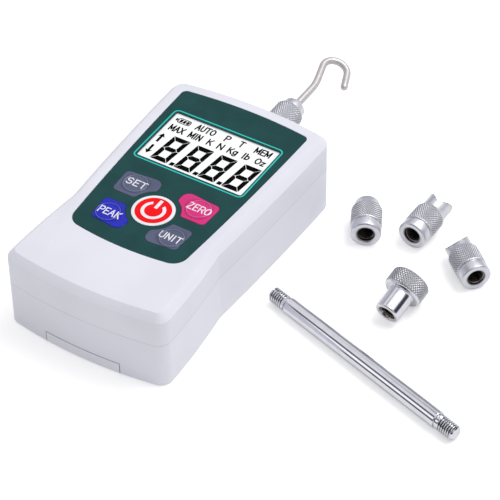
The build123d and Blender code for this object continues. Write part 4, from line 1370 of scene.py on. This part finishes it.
def build_floor():
    """White paper under the set, seen as white and keeping the set's shadow."""
    half, sunk = 4.0, -0.02 * MM
    ground = bpy.data.meshes.new("floor")
    outline = [(x * half, y * half, sunk) for x, y in ((-1, -1), (1, -1), (1, 1), (-1, 1))]
    ground.from_pydata(outline, [], [(0, 1, 2, 3)])
    paper = bpy.data.materials.new("White paper")
    paper.use_nodes = True
    nodes = Nodes(paper.node_tree)
    rays = nodes.add("ShaderNodeLightPath", output="Is Camera Ray")
    seen = rays.math("MAXIMUM", rays.out("Is Glossy Ray") * 0.3)
    seen = seen.math("MAXIMUM", rays.out("Is Transmission Ray"))
    fibre = nodes.blend(nodes.noise(1.5, 3.0), (0.9, 0.9, 0.9), (0.93, 0.93, 0.93))
    matt = nodes.add("ShaderNodeBsdfDiffuse", inputs={"Color": fibre})
    glow = nodes.add("ShaderNodeEmission", inputs={"Color": (1, 1, 1, 1), "Strength": seen * 0.36})
    both = nodes.add("ShaderNodeAddShader", inputs=[matt, glow])
    nodes.add("ShaderNodeOutputMaterial", inputs={"Surface": both})
    ground.materials.append(paper)
    linked("floor", ground)


def build_softbox(stage):
    """The soft lamp overhead."""
    lamp = bpy.data.lights.new("Softbox", "AREA")
    lamp.shape = "RECTANGLE"
    lamp.size, lamp.size_y = 0.9, 0.6
    lamp.energy = stage.overhead
    place = Vector((0.35, 0.45, 1.05))
    turn = (place - LOOK_AT).to_track_quat("Z", "Y").to_matrix().to_4x4()
    linked("Softbox", lamp).matrix_world = Matrix.Translation(place) @ turn


def build_sky(stage):
    """Even light on matt finishes, white behind the set, and a studio of screens in the plating."""
    world = bpy.data.worlds.new("Studio")
    bpy.context.scene.world = world
    world.use_nodes = True
    nodes = Nodes(world.node_tree)
    rays = nodes.add("ShaderNodeLightPath", output="Is Camera Ray")
    parts = nodes.add("ShaderNodeSeparateXYZ", inputs=[nodes.place.out("Generated")])

    def patch(aim, near, far):
        """1 within an angle of a direction, falling to 0 at a wider one."""
        x, y, z = Vector(aim).normalized()
        facing = parts.out("X") * x + parts.out("Y") * y + parts.out("Z") * z
        return facing.step(math.cos(math.radians(far)), math.cos(math.radians(near)))

    over, front = (0.30, 0.30, 0.905), (-0.725, -0.5, 0.48)
    screens = (
        ((0.2, -0.97, 0.12), 30, 48, (0.05, 0.05, 0.055)),
        ((-0.86, 0.45, 0.25), 20, 36, (0.46, 0.46, 0.50)),
        ((0.90, 0.2, 0.35), 17, 22, (0.05, 0.05, 0.075)),
        ((-0.31, 0.93, 0.2), 14, 27, (0.40, 0.40, 0.46)),
        (over, 37, 43, (0.22, 0.22, 0.26)),
        (front, 26, 33, (0.12, 0.12, 0.15)),
    )
    sky = nodes.blend(parts.out("Z").step(0.0, 0.5), (0.66, 0.66, 0.70), (0.96, 0.96, 0.98))
    for aim, near, far, colour in screens:
        sky = nodes.blend(patch(aim, near, far), sky, colour)
    lamps = patch(over, 31, 37).math("MAXIMUM", patch(front, 11, 14))
    sky = nodes.blend(lamps, sky, (1.0, 1.0, 1.0))
    glossy = rays.out("Is Glossy Ray")
    even = nodes.blend(glossy, (stage.ambient, stage.ambient, stage.ambient * 1.02), sky)
    colour = nodes.blend(rays.math("MAXIMUM", rays.out("Is Transmission Ray")), even, (1, 1, 1))
    lighting = {"Color": colour, "Strength": glossy * lamps * 0.35 + 1.0}
    nodes.add("ShaderNodeOutputWorld", inputs=[nodes.add("ShaderNodeBackground", inputs=lighting)])
    bpy.context.scene.view_settings.view_transform = "Standard"


# ---------------------------------------------------------------- operators
class GAUGE_OT_stage(bpy.types.Operator):
    """Set the camera, floor and light"""

    bl_idname = "gauge.stage"
    bl_label = "Stage"

    def execute(self, context):
        stage = context.scene.gauge_stage
        build_camera(stage)
        build_floor()
        build_softbox(stage)
        build_sky(stage)
        return {"FINISHED"}


class GAUGE_OT_casing(bpy.types.Operator):
    """Build the covers, battery door, screws, stand inserts and bush"""

    bl_idname = "gauge.casing"
    bl_label = "Casing"

    def execute(self, context):
        build_casing(context.scene.gauge_casing)
        return {"FINISHED"}


class GAUGE_OT_panel(bpy.types.Operator):
    """Build the panel film and the line round the display"""

    bl_idname = "gauge.panel"
    bl_label = "Panel"

    def execute(self, context):
        build_panel(context.scene.gauge_panel)
        return {"FINISHED"}


class GAUGE_OT_keys(bpy.types.Operator):
    """Build the four petal keys and the power key"""

    bl_idname = "gauge.keys"
    bl_label = "Keys"

    def execute(self, context):
        build_keys(context.scene.gauge_panel)
        return {"FINISHED"}


class GAUGE_OT_display(bpy.types.Operator):
    """Build the display and its lens"""

    bl_idname = "gauge.display"
    bl_label = "Display"

    def execute(self, context):
        build_display(context.scene.gauge_display)
        return {"FINISHED"}


class GAUGE_OT_heads(bpy.types.Operator):
    """Build the cone, notch, chisel and flat heads"""

    bl_idname = "gauge.heads"
    bl_label = "Heads"

    def execute(self, context):
        build_heads(context.scene.gauge_metal)
        return {"FINISHED"}


class GAUGE_OT_rod(bpy.types.Operator):
    """Build the extension rod"""

    bl_idname = "gauge.rod"
    bl_label = "Extension rod"

    def execute(self, context):
        build_rod(context.scene.gauge_metal)
        return {"FINISHED"}


class GAUGE_OT_hook(bpy.types.Operator):
    """Build the hook, its barrel and the load shaft"""

    bl_idname = "gauge.hook"
    bl_label = "Hook"

    def execute(self, context):
        build_hook(context.scene.gauge_metal)
        return {"FINISHED"}


class GAUGE_OT_inside(bpy.types.Operator):
    """Build the batteries and finish the solids inside"""

    bl_idname = "gauge.inside"
    bl_label = "Inside"

    def execute(self, context):
        build_batteries()
        build_inside()
        return {"FINISHED"}


OPERATORS = (
    GAUGE_OT_stage,
    GAUGE_OT_casing,
    GAUGE_OT_panel,
    GAUGE_OT_keys,
    GAUGE_OT_display,
    GAUGE_OT_heads,
    GAUGE_OT_rod,
    GAUGE_OT_hook,
    GAUGE_OT_inside,
)


class GAUGE_PT_panel(bpy.types.Panel):
    """Lists the gauge's builders in the sidebar"""

    bl_idname = "GAUGE_PT_panel"
    bl_label = "Force Gauge"
    bl_space_type = "VIEW_3D"
    bl_region_type = "UI"
    bl_category = "Gauge"

    def draw(self, context):
        for operator in OPERATORS:
            self.layout.operator(operator.bl_idname)


CLASSES = (*SETTINGS.values(), *OPERATORS, GAUGE_PT_panel)


def register():
    for item in CLASSES:
        bpy.utils.register_class(item)
    for name, group in SETTINGS.items():
        setattr(bpy.types.Scene, name, PointerProperty(type=group))


def unregister():
    for name in SETTINGS:
        delattr(bpy.types.Scene, name)
    for item in reversed(CLASSES):
        bpy.utils.unregister_class(item)


def corners(bounds):
    """A box as plain lists of numbers."""
    return [[float(side) for side in corner] for corner in bounds]


def main():
    """Registers the classes, builds every piece in order and writes the two boxes."""
    register()
    for operator in OPERATORS:
        group, name = operator.bl_idname.split(".")
        result = getattr(getattr(bpy.ops, group), name)()
        if result != {"FINISHED"}:
            raise RuntimeError(operator.bl_label + " didn't finish")


if __name__ == "__main__":
    main()
